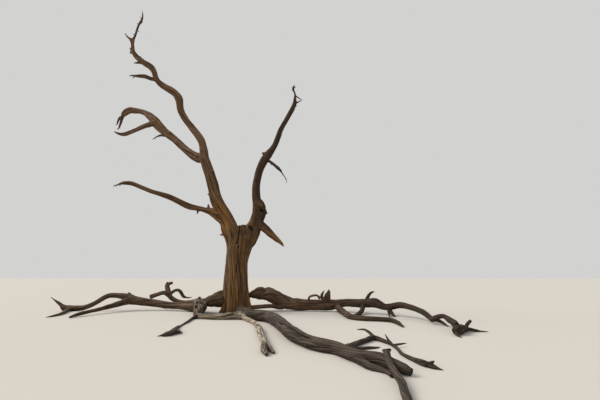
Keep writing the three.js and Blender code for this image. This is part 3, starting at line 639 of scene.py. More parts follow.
def limb_space(places, path):
    """Where places lie about a path: gap to its surface, length along it, angle and radius there."""
    nearest = np.empty(len(places), int)
    for start in range(0, len(places), BLOCK):
        block = places[start : start + BLOCK]
        square = (path.point**2).sum(1) - 2 * block @ path.point.T
        nearest[start : start + BLOCK] = square.argmin(1)
    offset = places - path.point[nearest]
    ahead = (offset * path.along[nearest]).sum(1)
    step = np.diff(path.length).mean()
    offset = offset - path.along[nearest] * np.clip(ahead, -step, step)[:, None]
    angle = np.arctan2((offset * path.across[nearest]).sum(1), (offset * path.side[nearest]).sum(1))
    gap = np.linalg.norm(offset, axis=1) - path.radius[nearest]
    return gap, path.length[nearest] + ahead, angle, path.radius[nearest]


class Bearings:
    """Every vertex of a mesh, as each limb near it sees it."""

    def __init__(self, places, paths):
        self.gaps = np.full((len(paths), len(places)), UNFELT)
        self.spaces = []
        for row, path in enumerate(paths):
            room = path.radius.max() * FELT[0] + FELT[1]
            low, high = path.point.min(0) - room, path.point.max(0) + room
            near = np.flatnonzero(((places > low) & (places < high)).all(1))
            gap, length, angle, radius = limb_space(places[near], path)
            self.gaps[row, near] = gap
            self.spaces.append((path, near, length, angle, radius))
        self.nearest = self.gaps.argmin(0)
        self.creased = np.array([path.creased for path in paths])
        weights = np.exp(-(self.gaps - self.gaps.min(0)) / NEAR)
        self.weights = weights / weights.sum(0)

    def joint_share(self, reach):
        """1 where two limbs meet, and 0 further than the reach from there."""
        if len(self.gaps) < 2:
            return np.zeros(self.gaps.shape[1])
        ordered = np.partition(self.gaps, 1, axis=0)
        return bell((ordered[1] - ordered[0]) / reach)


# The grain: how far it turns round a limb for each length along it, and how far it wavers in turns,
# over how many radii, in how many lanes round the limb
GRAIN_SLOPE = 0.1
WAVER, WAVER_RUN, WAVER_LANES = 0.03, 4, 3

# A knot: its reach along the limb, in its reach round it, how far the grain bends round it, how far
# it stands out, in its reach, and how much narrower than its reach that rise and its dark core are
KNOT_LONG = 2.4
KNOT_PULL = 0.7
KNOT_RISE, KNOT_RISE_NARROW = 0.25, 1.3
KNOT_CORE_NARROW = 3.5

# A lane's crack: how far it wanders, in lanes, how short its bends are, in its own length, and how
# steeply it opens
LANE_WANDER, LANE_BEND, LANE_OPEN = 0.4, 0.7, 1.6
SPLIT_TAPER = 5  # a long split is closed over one such part of its length at either end

# The split wood's relief: how long along the grain each thing in it runs, and how high or deep it is.
# Strands and clefts are in the spacing of the strands, flutes and lumps in the limb's radius, and
# rifts and warm bands in metres.
STRAND_RUN, STRAND_HEIGHT, FEWEST_STRANDS = 18, 0.13, 6
FINE_RUN, FINE_HEIGHT = 9, 0.06
CLEFT_RUN, CLEFT_WIDTH, CLEFT_DEPTH, CLEFT_DARK = 10, 0.2, 0.3, 0.8
FLUTES, FLUTE_RUN, FLUTE_HEIGHT = 6, 9, 0.06
LUMPS, LUMP_RUN, LUMP_HEIGHT = 4, 2, 0.03
RIFT_SPACING, RIFT_RUN = 0.2, 0.8
RIFT_WIDTH, RIFT_DEPTH = (0.11, 0.014), (0.2, 0.035)  # a share of the limb's radius, and the most
FEWEST_CRACKS = 3
BAND_SPACING, BAND_RUN, FEWEST_BANDS = 0.13, 1.6, 4
TIP_ROOM = (2.2, 0.8)  # how soon a thinning tip loses its strands
END_DARK = 0.62  # how dark the end grain of a broken end is
END_DOME = 0.2  # how far past a limb's end it is as dark as that, in radii


def grain_turn(path, length, angle):
    """How far round the limb each place lies in the grain, which winds slowly and bends round the
    knots, in turns, and how far a knot raises and darkens it."""
    girth = math.tau * path.thickness
    turn = angle / math.tau + GRAIN_SLOPE * length / girth
    run, seed = WAVER_RUN * path.thickness, path.seed + SEED["waver"]
    turn = turn + WAVER * streaks(length / run, turn * WAVER_LANES, WAVER_LANES, seed)
    raised, dark = np.zeros(len(turn)), np.zeros(len(turn))
    for at, where, reach in path.knots:
        beside = (turn - where + 0.5) % 1 - 0.5
        far = np.hypot(beside * girth, (length - at) / KNOT_LONG) / reach
        turn = turn - KNOT_PULL * beside * bell(far)
        raised += KNOT_RISE * reach * bell(KNOT_RISE_NARROW * far)
        dark = np.maximum(dark, bell(KNOT_CORE_NARROW * far))
    return turn, raised, dark


def crack_lanes(length, turn, lanes, girth, run, width, seed):
    """1 in the middle of a crack and 0 beside it. Each lane round the limb holds one crack, which
    wanders in the lane and opens and closes along it."""
    lane = turn * lanes
    middle = np.floor(lane + 0.5)
    wander = LANE_WANDER * streaks(length / (LANE_BEND * run), middle, lanes, seed)
    opened = ease(LANE_OPEN * streaks(length / run, middle, lanes, seed + 1))
    return opened * bell((lane - middle + wander) * girth / lanes / width)


def split_strength(path, length, angle, radius, split):
    """1 in the middle of a long split, 0 beside it and beyond its ends."""
    first, last, start, end, width = split[:5]
    share = (length / path.length[-1] - first) / (last - first)
    middle = np.radians(start + share * (end - start))
    beside = ((angle - middle + math.pi) % math.tau - math.pi) * radius
    return bell(beside / (width * MM)) * ease(SPLIT_TAPER * share) * ease(SPLIT_TAPER * (1 - share))


def relief(path, length, angle, radius, spacing):
    """Height of the split wood over its plain tube, in metres, and how cracked, raised and warm it is.

    Dead hardwood without its bark shows fluted strands, clefts between them, and deep splits.
    """
    turn, raised, crack = grain_turn(path, length, angle)
    mean = path.thickness
    girth = math.tau * mean
    room = ease(TIP_ROOM[0] * radius / mean - TIP_ROOM[1])

    def streaked(name, run, count):
        return streaks(length / run, turn * count, count, path.seed + SEED[name])

    def cracked(name, run, count, width):
        lanes = max(count, FEWEST_CRACKS)
        return crack_lanes(length, turn, lanes, girth, run, width, path.seed + SEED[name]) * room

    count = max(round(girth / spacing), FEWEST_STRANDS)
    strand = streaked("strands", STRAND_RUN * spacing, count) * room
    fine = streaked("fine", FINE_RUN * spacing, 2 * count) * room
    cleft = cracked("clefts", CLEFT_RUN * spacing, count // 2, CLEFT_WIDTH * spacing)
    rift_width, rift_depth = (min(share * mean, most) for share, most in (RIFT_WIDTH, RIFT_DEPTH))
    rift = cracked("rifts", RIFT_RUN, round(girth / RIFT_SPACING), rift_width)
    flute = streaked("flutes", FLUTE_RUN * mean, FLUTES)
    lump = streaked("lumps", LUMP_RUN * mean, LUMPS) * path.gnarl
    height = radius * (FLUTE_HEIGHT * flute + LUMP_HEIGHT * lump) + raised
    height = height + spacing * (STRAND_HEIGHT * strand + FINE_HEIGHT * fine - CLEFT_DEPTH * cleft)
    height = height - rift_depth * rift
    # clefts, rifts and the splits below are darkened with painted shade in them
    crack = np.maximum(crack, np.maximum(CLEFT_DARK * cleft, rift))
    for split in path.splits:
        strength = split_strength(path, length, angle, radius, split)
        height = height - split[-1] * MM * strength
        crack = np.maximum(crack, strength)
    before = (path.length[0] - length) * path.broken[0]
    beyond = (length - path.length[-1]) * path.broken[1]
    crack = np.maximum(crack, END_DARK * ease(np.maximum(before, beyond) / (END_DOME * radius)))
    warmth = streaked("warmth", BAND_RUN, max(round(girth / BAND_SPACING), FEWEST_BANDS))
    return height, crack, strand, warmth


# What the tree's front shows cut into the wood or standing out of it, in millimetres: from, to, a
# ring's radius, half width, how far it stands out, or sinks in if below zero, and how dark it is,
# which is painted shade in the splits, holes, hollows and seams.
MARKS = [
    ((50, -180, 2500), (30, -220, 2300), 0, 15, -60, 1.0),  # long split under the crotch
    ((30, -220, 2300), (36, -250, 2060), 0, 17, -60, 1.0),
    ((36, -250, 2060), (0, -290, 1915), 0, 16, -52, 1.0),
    ((56, -310, 1840), (60, -310, 1815), 0, 20, -34, 1.0),  # knot hole under the split
    ((78, -320, 1620), (10, -330, 1150), 0, 13, -30, 0.9),  # seam between the two fused stems
    ((10, -330, 1150), (-10, -340, 760), 0, 11, -22, 0.7),
    ((350, -230, 2430), (420, -230, 2340), 0, 46, -62, 1.0),  # hollow between the stems
    ((110, -190, 2250), (330, -210, 2230), 0, 105, -30, 0.35),
    ((645, -290, 3060), (655, -290, 3075), 0, 115, 50, 0.0),  # burl on the right bough
    ((640, -300, 3070), (655, -300, 3075), 98, 17, -16, 0.6),
    ((640, -330, 3000), (660, -330, 2990), 0, 30, -16, 0.5),
    ((675, -290, 2935), (710, -280, 2900), 0, 38, -70, 1.0),  # rotted hole under the burl
    ((-1000, -520, 330), (-980, -600, 290), 0, 24, -40, 1.0),  # hollows in the gnarled left knot
    ((-900, -720, 345), (-880, -800, 310), 0, 19, -40, 1.0),
    ((-835, -1000, 255), (-810, -1080, 215), 0, 24, -40, 1.0),
    ((-760, -1050, 225), (-735, -1150, 185), 0, 18, -35, 1.0),
]
MARK_ROOM = 0.6  # how far from the marks their edges are still drawn
MARK_DEPTH_SHARE = 0.08  # how much a mark's distance counts along Y, so that it reaches the surface
MARK_EDGE = 3.0  # how steep a mark's edge is
MARK_WEAR = (18 * MM, 11.0)  # how far the edge strays from an even line, and how often in a metre
MARK_FULL_WEAR = 40  # the half width in millimetres from which a mark strays as far as that
MARK_CALM = 0.6  # how much of the grain's own relief a mark takes away

# Golden patches, where the low left bough leaves the tree, on the burl, on the limb behind the foot,
# on the foot itself and on the right log's head: middle and reach in millimetres, and how bare it is.
BARE_HEARTWOOD = [
    ((-630, -150, 2780), 290, 1.0),
    ((650, -300, 3080), 150, 0.55),
    ((760, 140, 140), 420, 1.0),
    ((-130, -380, 330), 330, 1.0),
    ((620, 300, 600), 260, 1.0),
]
BARE_WARMTH, BARE_LIGHT = 2, 0.9  # how much warmer such a patch is, and how little it is shaded

# Painted shade in patches: in the fork, down the trunk's right side, in the hollow between the stems,
# and on the fallen wood that lies in shade near the trunk. Each has its middle and reach in
# millimetres, and how dark it is.
PAINTED_SHADE_PATCHES = [
    # painted shade in the fork under the crotch
    ((230, -150, 2170), 300, 0.65),
    # painted shade down the trunk's right side, away from the light
    ((200, -250, 1300), 420, 0.3),
    # painted shade in the hollow between the stems
    ((400, -240, 2330), 240, 0.75),
    # painted shade on the pale limb: its gnarl, its first stretch and its end
    ((170, -1790, 90), 280, 0.9),
    ((-350, -1720, 60), 380, 0.5),
    ((1370, -5450, 45), 330, 0.9),
    # painted shadow of the trunk over the front log and the wood beside it
    ((230, -520, 90), 560, 0.95),
    ((600, -1600, 100), 700, 0.4),
]

# Where else painted shade darkens the wood: the right bough, against the light, along X and Z, and the
# far fallen ends, which lie in shade, along X. Each is where the shade starts and how far it takes to
# grow.
BOUGH_SHADE_X, BOUGH_SHADE_Z, FAR_SHADE_X = (0.25, 0.3), (2.0, 0.8), (2.2, 1.8)
FALLEN_HEIGHT = 1  # all that has fallen lies lower

# Where one skin of the standing tree ends and the next starts, and how far the looks of the two are
# drawn together there: how much less warm both are, and how much darker the upper one starts.
LEFT_CUT_HEIGHT = 4.05
RIGHT_CUT_HEIGHT = 3.62
CUT_ROOM = 0.5
CUT_CALM = 0.7
CUT_SHADE = 0.15
# the crease's dark is painted shade between the two limbs
CREASE = 0.006  # half the width of the dark crease where two limbs meet
CREASE_DARK = 0.7
FIGURE_APART, FIGURE_PLACES = 3.7, 97  # set the figure of one limb apart from that of the next
LOOKS = ("crack", "ridge", "warmth", "shade")  # what each vertex keeps for the finish


def marked(places):
    """How far the marks raise each place, in metres, how dark the painted shade in them makes it, and
    how much of the grain's own relief they leave."""
    height, dark, calm = np.zeros(len(places)), np.zeros(len(places)), np.ones(len(places))
    squash = np.array([1, MARK_DEPTH_SHARE, 1])
    reach, often = MARK_WEAR
    marks = np.array([mark[0] for mark in MARKS]) * MM
    near = ((places > marks.min(0) - MARK_ROOM) & (places < marks.max(0) + MARK_ROOM)).all(1)
    wear = np.zeros(len(places))
    wear[near] = [reach * noise.noise(place * often) for place in places[near]]
    for start, end, ring, width, stand, shade in MARKS:
        a, b = np.array(start) * MM * squash, np.array(end) * MM * squash
        share = np.clip(((places * squash - a) @ (b - a)) / ((b - a) @ (b - a)), 0, 1)
        gap = np.linalg.norm(places * squash - a - share[:, None] * (b - a), axis=1) - ring * MM
        gap = np.abs(gap) + wear * min(1, width / MARK_FULL_WEAR)
        strength = np.exp(-(np.maximum(gap / (width * MM), 0) ** MARK_EDGE)) * (places[:, 1] < 0)
        height += stand * MM * strength
        dark = np.maximum(dark, shade * strength)
        calm = np.minimum(calm, 1 - MARK_CALM * strength)
    return height, dark, calm


def grown(mesh, paths, spacing, lying=False):
    """Raises the split wood's relief on a plain mesh, inside the box of the CAD model."""
    places = places_of(mesh)
    normals = values_of(mesh.vertices, "normal", width=3)
    bearings = Bearings(places, paths)
    height = np.zeros(len(places))
    for row, (path, near, *space) in enumerate(bearings.spaces):
        height[near] += bearings.weights[row, near] * relief(path, *space, spacing)[0]
    stand, _, calm = marked(places)
    places = places + normals * (height * calm + stand)[:, None]
    low = CAD_LOW if lying else CAD_LOW - [0, 0, 1]
    move_to(mesh, np.clip(places, low, CAD_HIGH))


def patch(places, middle, reach):
    """1 in the middle of a soft round patch, and 0 well beyond its reach."""
    return bell(np.linalg.norm(places - np.array(middle) * MM, axis=1) / (reach * MM))


def bare_heartwood(places):
    patches = [share * patch(places, middle, reach) for middle, reach, share in BARE_HEARTWOOD]
    return np.maximum.reduce(patches)


def soft_step(value, start, span):
    """0 up to the start, and 1 from a span beyond it."""
    return ease((value - start) / span)


def shaded(places):
    """How much painted shade darkens the wood: most on the right bough, the far fallen ends and the
    patches, and a little at the start of each upper skin, to match the tone below its cut. Bare
    heartwood takes little of it.
    """
    x, _, z = places.T
    dark = soft_step(x, *BOUGH_SHADE_X) * soft_step(z, *BOUGH_SHADE_Z)
    dark = np.maximum(dark, soft_step(x, *FAR_SHADE_X) * (z < FALLEN_HEIGHT))
    for middle, reach, share in PAINTED_SHADE_PATCHES:
        dark = np.maximum(dark, share * patch(places, middle, reach))
    over = z - np.where(x < 0, LEFT_CUT_HEIGHT, RIGHT_CUT_HEIGHT)
    dark = np.maximum(dark, CUT_SHADE * bell(over / CUT_ROOM) * (over > 0))
    return dark * (1 - BARE_LIGHT * bare_heartwood(places))


def creases(bearings):
    """How dark the painted shade in the crease between two limbs is. There is none where one limb runs on
    from another.
    """
    if len(bearings.gaps) < 2:
        return 0
    pair = np.argpartition(bearings.gaps, 1, axis=0)[:2]
    return CREASE_DARK * bearings.joint_share(CREASE) * bearings.creased[pair].all(0)


def painted(mesh, paths, spacing):
    """Keeps what the finish needs: cracks, ridges, warm bands and painted shade, and places along the
    grain.
    """
    places = places_of(mesh)
    bearings = Bearings(places, paths)
    corners = values_of(mesh.loops, "vertex_index", int)
    starts, totals = (values_of(mesh.polygons, name, int) for name in ("loop_start", "loop_total"))
    limb = np.repeat(bearings.nearest[corners[starts]], totals)
    looks = np.zeros((3, len(places)))
    grain = np.zeros((len(corners), 3))
    for row, (path, near, length, angle, radius) in enumerate(bearings.spaces):
        shown = np.array(relief(path, length, angle, radius, spacing)[1:])
        looks[:, near] += bearings.weights[row, near] * shown
        turn = math.tau * grain_turn(path, length, angle)[0]
        straight = np.zeros((len(places), 3))
        round_it = [np.cos(turn) * path.thickness, np.sin(turn) * path.thickness, length]
        straight[near] = np.stack(round_it, axis=1) + FIGURE_APART * (path.seed % FIGURE_PLACES)
        mine = limb == row
        grain[mine] = straight[corners[mine]]
    crack, ridge, warmth = looks
    crack = np.maximum(np.maximum(crack, creases(bearings)), marked(places)[1])
    warmth += BARE_WARMTH * bare_heartwood(places)
    for height in (LEFT_CUT_HEIGHT, RIGHT_CUT_HEIGHT):
        warmth -= CUT_CALM * bell((places[:, 2] - height) / CUT_ROOM)
    for name, values in zip(LOOKS, (crack, ridge, warmth, shaded(places))):
        mesh.attributes.new(name, "FLOAT", "POINT").data.foreach_set("value", values)
    mesh.attributes.new("grain", "FLOAT_VECTOR", "CORNER").data.foreach_set("vector", grain.ravel())


def cut_flat(mesh, place, beyond, room):
    """Cuts a limb flat at a place and closes the cut. What is further than the room stays."""
    shape = bmesh.new()
    shape.from_mesh(mesh)
    near = {v for v in shape.verts if np.linalg.norm(np.array(v.co) - place) < room}
    faces = {face for v in near for face in v.link_faces}
    edges = {edge for face in faces for edge in face.edges}
    corners = {v for face in faces for v in face.verts}
    geom = [*corners, *edges, *faces]
    bmesh.ops.bisect_plane(shape, geom=geom, plane_co=place, plane_no=beyond, clear_outer=True)
    rim = [edge for edge in shape.edges if edge.is_boundary]
    bmesh.ops.holes_fill(shape, edges=rim, sides=0)
    for edge in rim:
        edge.smooth = False
    shape.to_mesh(mesh)
    shape.free()


def linear(code):
    """An sRGB hex colour as Blender's linear red, green, blue and alpha."""
    shares = [int(code[i : i + 2], 16) / 255 for i in (1, 3, 5)]
    return (*(s / 12.92 if s <= 0.04045 else ((s + 0.055) / 1.055) ** 2.4 for s in shares), 1.0)


def add_node(tree, kind, inputs=(), stops=(), **settings):
    """Adds one node with its settings, its ramp's stops, and its inputs set or linked. An input that
    is given a node is linked to that node's first output."""
    node = tree.nodes.new("ShaderNode" + kind)
    for name, value in settings.items():
        setattr(node, name, value)
    for name, value in dict(inputs).items():
        if isinstance(value, bpy.types.Node):
            value = value.outputs[0]
        if isinstance(value, bpy.types.NodeSocket):
            tree.links.new(value, node.inputs[name])
        else:
            node.inputs[name].default_value = value
    for i, (place, colour) in enumerate(stops):
        ramp = node.color_ramp.elements
        stop = ramp[i] if i < len(ramp) else ramp.new(place)
        stop.position, stop.color = place, colour
    return node


def emptied(owner):
    """What adds a node to a material or a world, once its own nodes are gone."""
    owner.use_nodes = True
    owner.node_tree.nodes.clear()
    return functools.partial(add_node, owner.node_tree)


# Real sizes of the wood's figure, across the grain and along it: a strand that still shows from ten
# metres away, and the drying cracks between strands. True fibres are under 0.1 mm wide, so they are
# drawn as coarse as they show.
STRAND_MM = (16, 420)
FIBRE_MM = (4, 90)
PATCH_MM = (420, 420)
HAIR_CRACK_MM = (11, 260)
HAIR_CRACK_SHARE = 0.7  # how black a hair crack is, in how black a drying crack is
CRACK_WIDTH = 0.07  # of the room between two cracks
CRACK_BEND = 0.9
TONE_STOPS = (0.1, 0.45, 0.9)  # where the dark, the middle and the raised strands lie on the ramp
# the near black of the painted shade in cracks
CRACK_SHADE_BLACK = "#0f0a06"
# the colour that painted shade darkens the wood towards
SHADED_WOOD = "#1f1710"


def stretched(size):
    """What turns a place along the grain into one in widths across and lengths along it."""
    across, along = size
    return (1 / (across * MM), 1 / (across * MM), 1 / (along * MM))


def wood_figure(add, grain):
    """Strands and fibres that run along the grain, and round patches of weathering."""
    place = add("TexCoord").outputs["Object"]
    for vector, size, detail in ((grain, STRAND_MM, 4.0), (grain, FIBRE_MM, 3.0), (place, PATCH_MM, 3.0)):
        scaled = add("VectorMath", {0: vector, 1: stretched(size)}, operation="MULTIPLY")
        inputs = {"Vector": scaled, "Scale": 1.0, "Detail": detail, "Roughness": 0.6}
        yield add("TexNoise", inputs).outputs["Fac"]


def thin_cracks(add, grain, check_mm, check_share):
    """Drying cracks that part long narrow plates of wood, and hair cracks that part finer ones, as how
    black the painted shade in them makes each place.
    """
    lines = []
    for size, most in ((check_mm, check_share), (HAIR_CRACK_MM, HAIR_CRACK_SHARE * check_share)):
        scaled = add("VectorMath", {0: grain, 1: stretched(size)}, operation="MULTIPLY")
        stray = add("TexNoise", {"Vector": scaled, "Scale": 1.0, "Detail": 2.0})
        inputs = {0: stray.outputs["Color"], 1: (CRACK_BEND,) * 3, 2: scaled}
        bent = add("VectorMath", inputs, operation="MULTIPLY_ADD")
        edge = add("TexVoronoi", {"Vector": bent, "Scale": 1.0}, feature="DISTANCE_TO_EDGE")
        inputs = {0: edge.outputs["Distance"], 1: 0.2 * CRACK_WIDTH, 2: CRACK_WIDTH, 3: 1.0, 4: 0.0}
        line = add("MapRange", inputs)
        opened = add("MapRange", {0: stray.outputs["Fac"], 1: 0.4, 2: 0.55, 4: most})
        lines.append(add("Math", {0: line, 1: opened}, operation="MULTIPLY"))
    return add("Math", dict(enumerate(lines)), operation="MAXIMUM")


def weathered_hardwood(name, tones, warm, bleached, warm_share, bleach_and_top_light_share, check_mm, check_share):
    """Dense thorn-tree heartwood, split and sand-worn: dull, streaked along the grain, warm where the dry
    heartwood shows, near black with painted shade in its cracks, and darker where painted shade
    falls. What faces up is greyer: sun-greyed wood, and a painted highlight of the light on top."""
    material = bpy.data.materials.new(name)
    add = emptied(material)
    crack, ridge, warmth, shade = (add("Attribute", attribute_name=look).outputs["Fac"] for look in LOOKS)
    grain = add("Attribute", attribute_name="grain").outputs["Vector"]
    strands, fibres, patches = wood_figure(add, grain)

    # The tone runs from a dark hollow of the grain, at 0, to a raised strand, at 1: over streaks of the
    # grain's own tone, painted shade in the hollows and a painted highlight on the raised ridges
    strands = add("MapRange", {0: strands, 1: 0.3, 2: 0.7})
    fibres = add("MapRange", {0: fibres, 1: 0.3, 2: 0.7, 3: -0.2, 4: 0.2})
    tone = add("Math", {0: ridge, 1: 0.24, 2: strands}, operation="MULTIPLY_ADD")
    tone = add("Math", {0: tone, 1: fibres}, operation="ADD")
    wood = add("ValToRGB", {0: tone}, zip(TONE_STOPS, map(linear, tones)))
    raised = add("MapRange", {0: tone, 1: 0.1, 2: 0.8})

    # Dry heartwood glows warm in long bands, and what faces up is greyer, both on raised strands: that
    # grey is sun-greyed wood and also a painted highlight of the light that falls on top
    banded = add("Math", {0: patches, 1: 0.8, 2: warmth}, operation="MULTIPLY_ADD")
    banded = add("MapRange", {0: banded, 1: 0.3, 2: 0.95, 4: warm_share})
    glow = add("Math", {0: banded, 1: raised}, operation="MULTIPLY")
    upward = add("SeparateXYZ", {0: add("NewGeometry").outputs["Normal"]}).outputs["Z"]
    top_bleach_and_light = add("Math", {0: patches, 1: 0.9, 2: upward}, operation="MULTIPLY_ADD")
    top_bleach_and_light = add("MapRange", {0: top_bleach_and_light, 1: 0.4, 2: 1.3, 4: bleach_and_top_light_share})
    grey = add("Math", {0: top_bleach_and_light, 1: raised}, operation="MULTIPLY")

    # Painted shade darkens some wood, and painted shade in the cracks makes them near black
    dim = add("MapRange", {0: shade, 1: 0.0, 2: 1.0, 4: 0.65})
    thin = thin_cracks(add, grain, check_mm, check_share)
    wide = add("MapRange", {0: crack, 1: 0.15, 2: 0.8, 4: 0.95})
    black = add("Math", {0: thin, 1: wide}, operation="MAXIMUM")
    for share, colour in ((glow, warm), (grey, bleached), (dim, SHADED_WOOD), (black, CRACK_SHADE_BLACK)):
        wood = add("Mix", {0: share, 6: wood, 7: linear(colour)}, data_type="RGBA").outputs[2]

    # Strands stand out, fibres less, and the thin cracks are cut in
    depth = add("Math", {0: fibres, 1: 0.8, 2: strands}, operation="MULTIPLY_ADD")
    depth = add("Math", {0: thin, 1: -0.9, 2: depth}, operation="MULTIPLY_ADD")
    bump = add("Bump", {"Height": depth, "Strength": 0.8, "Distance": 5 * MM})
    inputs = {"Base Color": wood, "Normal": bump, "Roughness": 0.86, "IOR": 1.45}
    inputs["Specular IOR Level"] = 0.25
    add("OutputMaterial", {0: add("BsdfPrincipled", inputs)})
    return material


# Each wood: its dark, middle and raised strands, its warm heartwood and its sun-greyed face, which is
# also a painted highlight on top, how much of those two shows, and how wide, long and black its thin
# cracks are, that black being painted shade.
TRUNK_WOOD = weathered_hardwood(  # brown, with golden heartwood
    "weathered_trunk_hardwood", ("#2e1f12", "#573f28", "#7a5e40"), "#8a5f28", "#8d7c66", 0.65, 0.15,
    (34, 900), 0.75)
BOUGH_WOOD = weathered_hardwood(  # lighter and drier brown
    "weathered_bough_hardwood", ("#34251a", "#584330", "#7e6248"), "#78572f", "#958069", 0.4, 0.25,
    (34, 900), 0.7)
FALLEN_WOOD = weathered_hardwood(  # dull brown
    "dry_fallen_hardwood", ("#2a1f17", "#48382b", "#6a5543"), "#664829", "#7d6b5a", 0.35, 0.35,
    (28, 700), 0.8)
GREYED_WOOD = weathered_hardwood(  # dark grey brown
    "sun_greyed_fallen_hardwood", ("#211a14", "#372e26", "#564b40"), "#473928", "#6e655b", 0.3, 0.45,
    (24, 600), 0.85)
BLEACHED_WOOD = weathered_hardwood(  # pale bone colour
    "bleached_fallen_hardwood", ("#43362b", "#867663", "#cbbeaa"), "#84694a", "#dcd2c2", 0.3, 0.5,
    (16, 400), 0.95)
# the knotted wood's near black hollows are painted shade, and its pale strands are partly painted
# highlights
KNOTTED_WOOD = weathered_hardwood(  # pale strands over near black hollows
    "knotted_fallen_hardwood", ("#17100a", "#37291c", "#74614b"), "#553e27", "#cdbfaa", 0.35, 0.35,
    (16, 150), 0.95)
TWIG_WOOD = weathered_hardwood(  # dull brown with few cracks
    "dry_twig_hardwood", ("#281d14", "#47372a", "#6b5642"), "#664a2e", "#85755f", 0.35, 0.2,
    (20, 500), 0.6)


def as_piece(name, mesh, nodes, slot, material):
    """Shows a mesh in place of its CAD nodes."""
    mesh.shade_smooth()
    mesh.materials.clear()
    mesh.materials.append(material)
    piece = linked(name, mesh)
    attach(piece, "root")
    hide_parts(*nodes)


def seed_of(name):
    """A seed of its own for each name."""
    seeds, first = 9973, 3
    return sum(ord(letter) * place for place, letter in enumerate(name, first)) % seeds


def spur_paths(ways, step, seed, **traits):
    return [Path(way, step, seed + SEED["spurs"] + i, **traits) for i, way in enumerate(ways)]


# The standing tree, fused into one skin and cut flat where one piece meets the next. A voxel is the
# side of the skin's faces, and a strand the spacing of the relief.
STANDING_STEP, SPUR_STEP = 0.04, 0.02  # from one sample of a limb or a spur to the next
GROUND_CUT = (np.zeros(3), (0, 0, -1), 0.75)  # a place, the way beyond it, and how far round it
OVERLAP = 5  # samples that a stretch runs past its cut
RUNS_ON = ("bole", "left_upper")  # limbs that run on into others with no crease
LIMB_SIDES, SPUR_SIDES = 36, 14
SKIN_ROUNDS = 2  # of softening everywhere
JOINT_REACH, JOINT_ROUNDS = 0.05, 30  # how far from a joint it is softened more, and how often
TRUNK_SKIN = {"voxel": 0.013, "strand": 0.046}
LEFT_CROWN_SKIN = {"voxel": 0.0112, "strand": 0.036}
RIGHT_CROWN_SKIN = {"voxel": 0.0095, "strand": 0.034}


def standing_piece(name, limbs, spurs, skin, cuts, nodes, slot, material):
    """One fused part of the standing tree, from stretches of limbs and their spurs."""
    tubes = [tube(path, LIMB_SIDES) for path in limbs] + [tube(path, SPUR_SIDES) for path in spurs]
    mesh = one_skin(name, tubes, skin["voxel"])
    paths = [*limbs, *spurs]
    places = places_of(mesh)
    places = soften(places, mesh, np.ones(len(places)), SKIN_ROUNDS)
    joints = Bearings(places, paths).joint_share(JOINT_REACH)
    move_to(mesh, soften(places, mesh, joints, JOINT_ROUNDS))
    grown(mesh, paths, skin["strand"])
    for cut in cuts:
        cut_flat(mesh, *cut)
    painted(mesh, paths, skin["strand"])
    as_piece(name, mesh, nodes, slot, material)


def parted(stem, height):
    """The stem's stretches below and above a height, and the flat cuts where they end and start."""
    i = int(np.searchsorted(stem.point[:, 2], height))
    cuts = [(stem.point[i], way * stem.along[i], CUT_ROOM) for way in (1, -1)]
    return stem.cut(0, i + OVERLAP), stem.cut(i - OVERLAP, None), *cuts


def standing_tree():
    limbs, spurs = {}, {}
    for name, (way, *spur_ways) in STANDING.items():
        bole = name == "bole"
        way = [BELOW_GROUND, *way] if bole else way
        creased = name not in RUNS_ON
        limbs[name] = Path(way, STANDING_STEP, seed_of(name), creased=creased, flared=bole)
        spurs[name] = spur_paths(spur_ways, SPUR_STEP, seed_of(name))
    low_left, high_left, left_end, left_start = parted(limbs["left_stem"], LEFT_CUT_HEIGHT)
    low_right, high_right, right_end, right_start = parted(limbs["right_stem"], RIGHT_CUT_HEIGHT)
    low_spurs = [spur for spur in spurs["right_stem"] if spur.point[0][2] < RIGHT_CUT_HEIGHT]
    high_spurs = [spur for spur in spurs["right_stem"] if spur not in low_spurs]
    low_limbs = [limbs[name] for name in ("bole", "crotch", "low_left_bough", "broken_limb")]
    left_limbs = [limbs[name] for name in ("left_upper", "curl", "side_limb", "under_limb")]
    standing_piece(
        "trunk_wood", [*low_limbs, low_left, low_right],
        spurs["left_stem"] + spurs["low_left_bough"] + low_spurs, TRUNK_SKIN,
        [GROUND_CUT, left_end, right_end],
        ["trunk", "left_bough", "right_bough", "low_left_bough", "broken_limb"], "trunk_wood", TRUNK_WOOD)
    standing_piece(
        "left_crown_wood", [*left_limbs, high_left], spurs["left_upper"], LEFT_CROWN_SKIN, [left_start],
        ["left_upper_bough", "left_upper_bough_end", "side_limb", "curl_bough", "curl_bough_end",
         "under_limb"], "bough_wood", BOUGH_WOOD)
    standing_piece(
        "right_crown_wood", [limbs["right_upper_bough"], high_right],
        high_spurs + spurs["right_upper_bough"], RIGHT_CROWN_SKIN, [right_start],
        ["right_upper_bough"], "bough_wood", BOUGH_WOOD)


# The fallen limbs: each a closed piece of its own, flattened where it lies on the ground.
FACE_WIDTH = 0.0095
FACE_LENGTH = 0.02
SPUR_FACE_LENGTH = 0.012
FEWEST_SIDES = 8
STRAND_SHARE = 0.3  # the spacing of a fallen limb's relief, in its radius
LEAST_STRAND, MOST_STRAND = 0.02, 0.034

# How far back a broken end is torn, in its radius, and how much more knotted than others a limb is
BLUNT = {"front_log": 0.35, "right_log": 0.2, "left_butt": 0.3, "back_snag": 0.2, "right_log_stub": 0.4}
GNARLED = {"left_knot": 2.4, "end_piece": 2.0, "right_log_stub": 2.0, "back_snag": 1.6}
GREYED = ("front_log", "front_log_prong", "crossing_branch", "chain_branch", "front_strand", "front_stick")

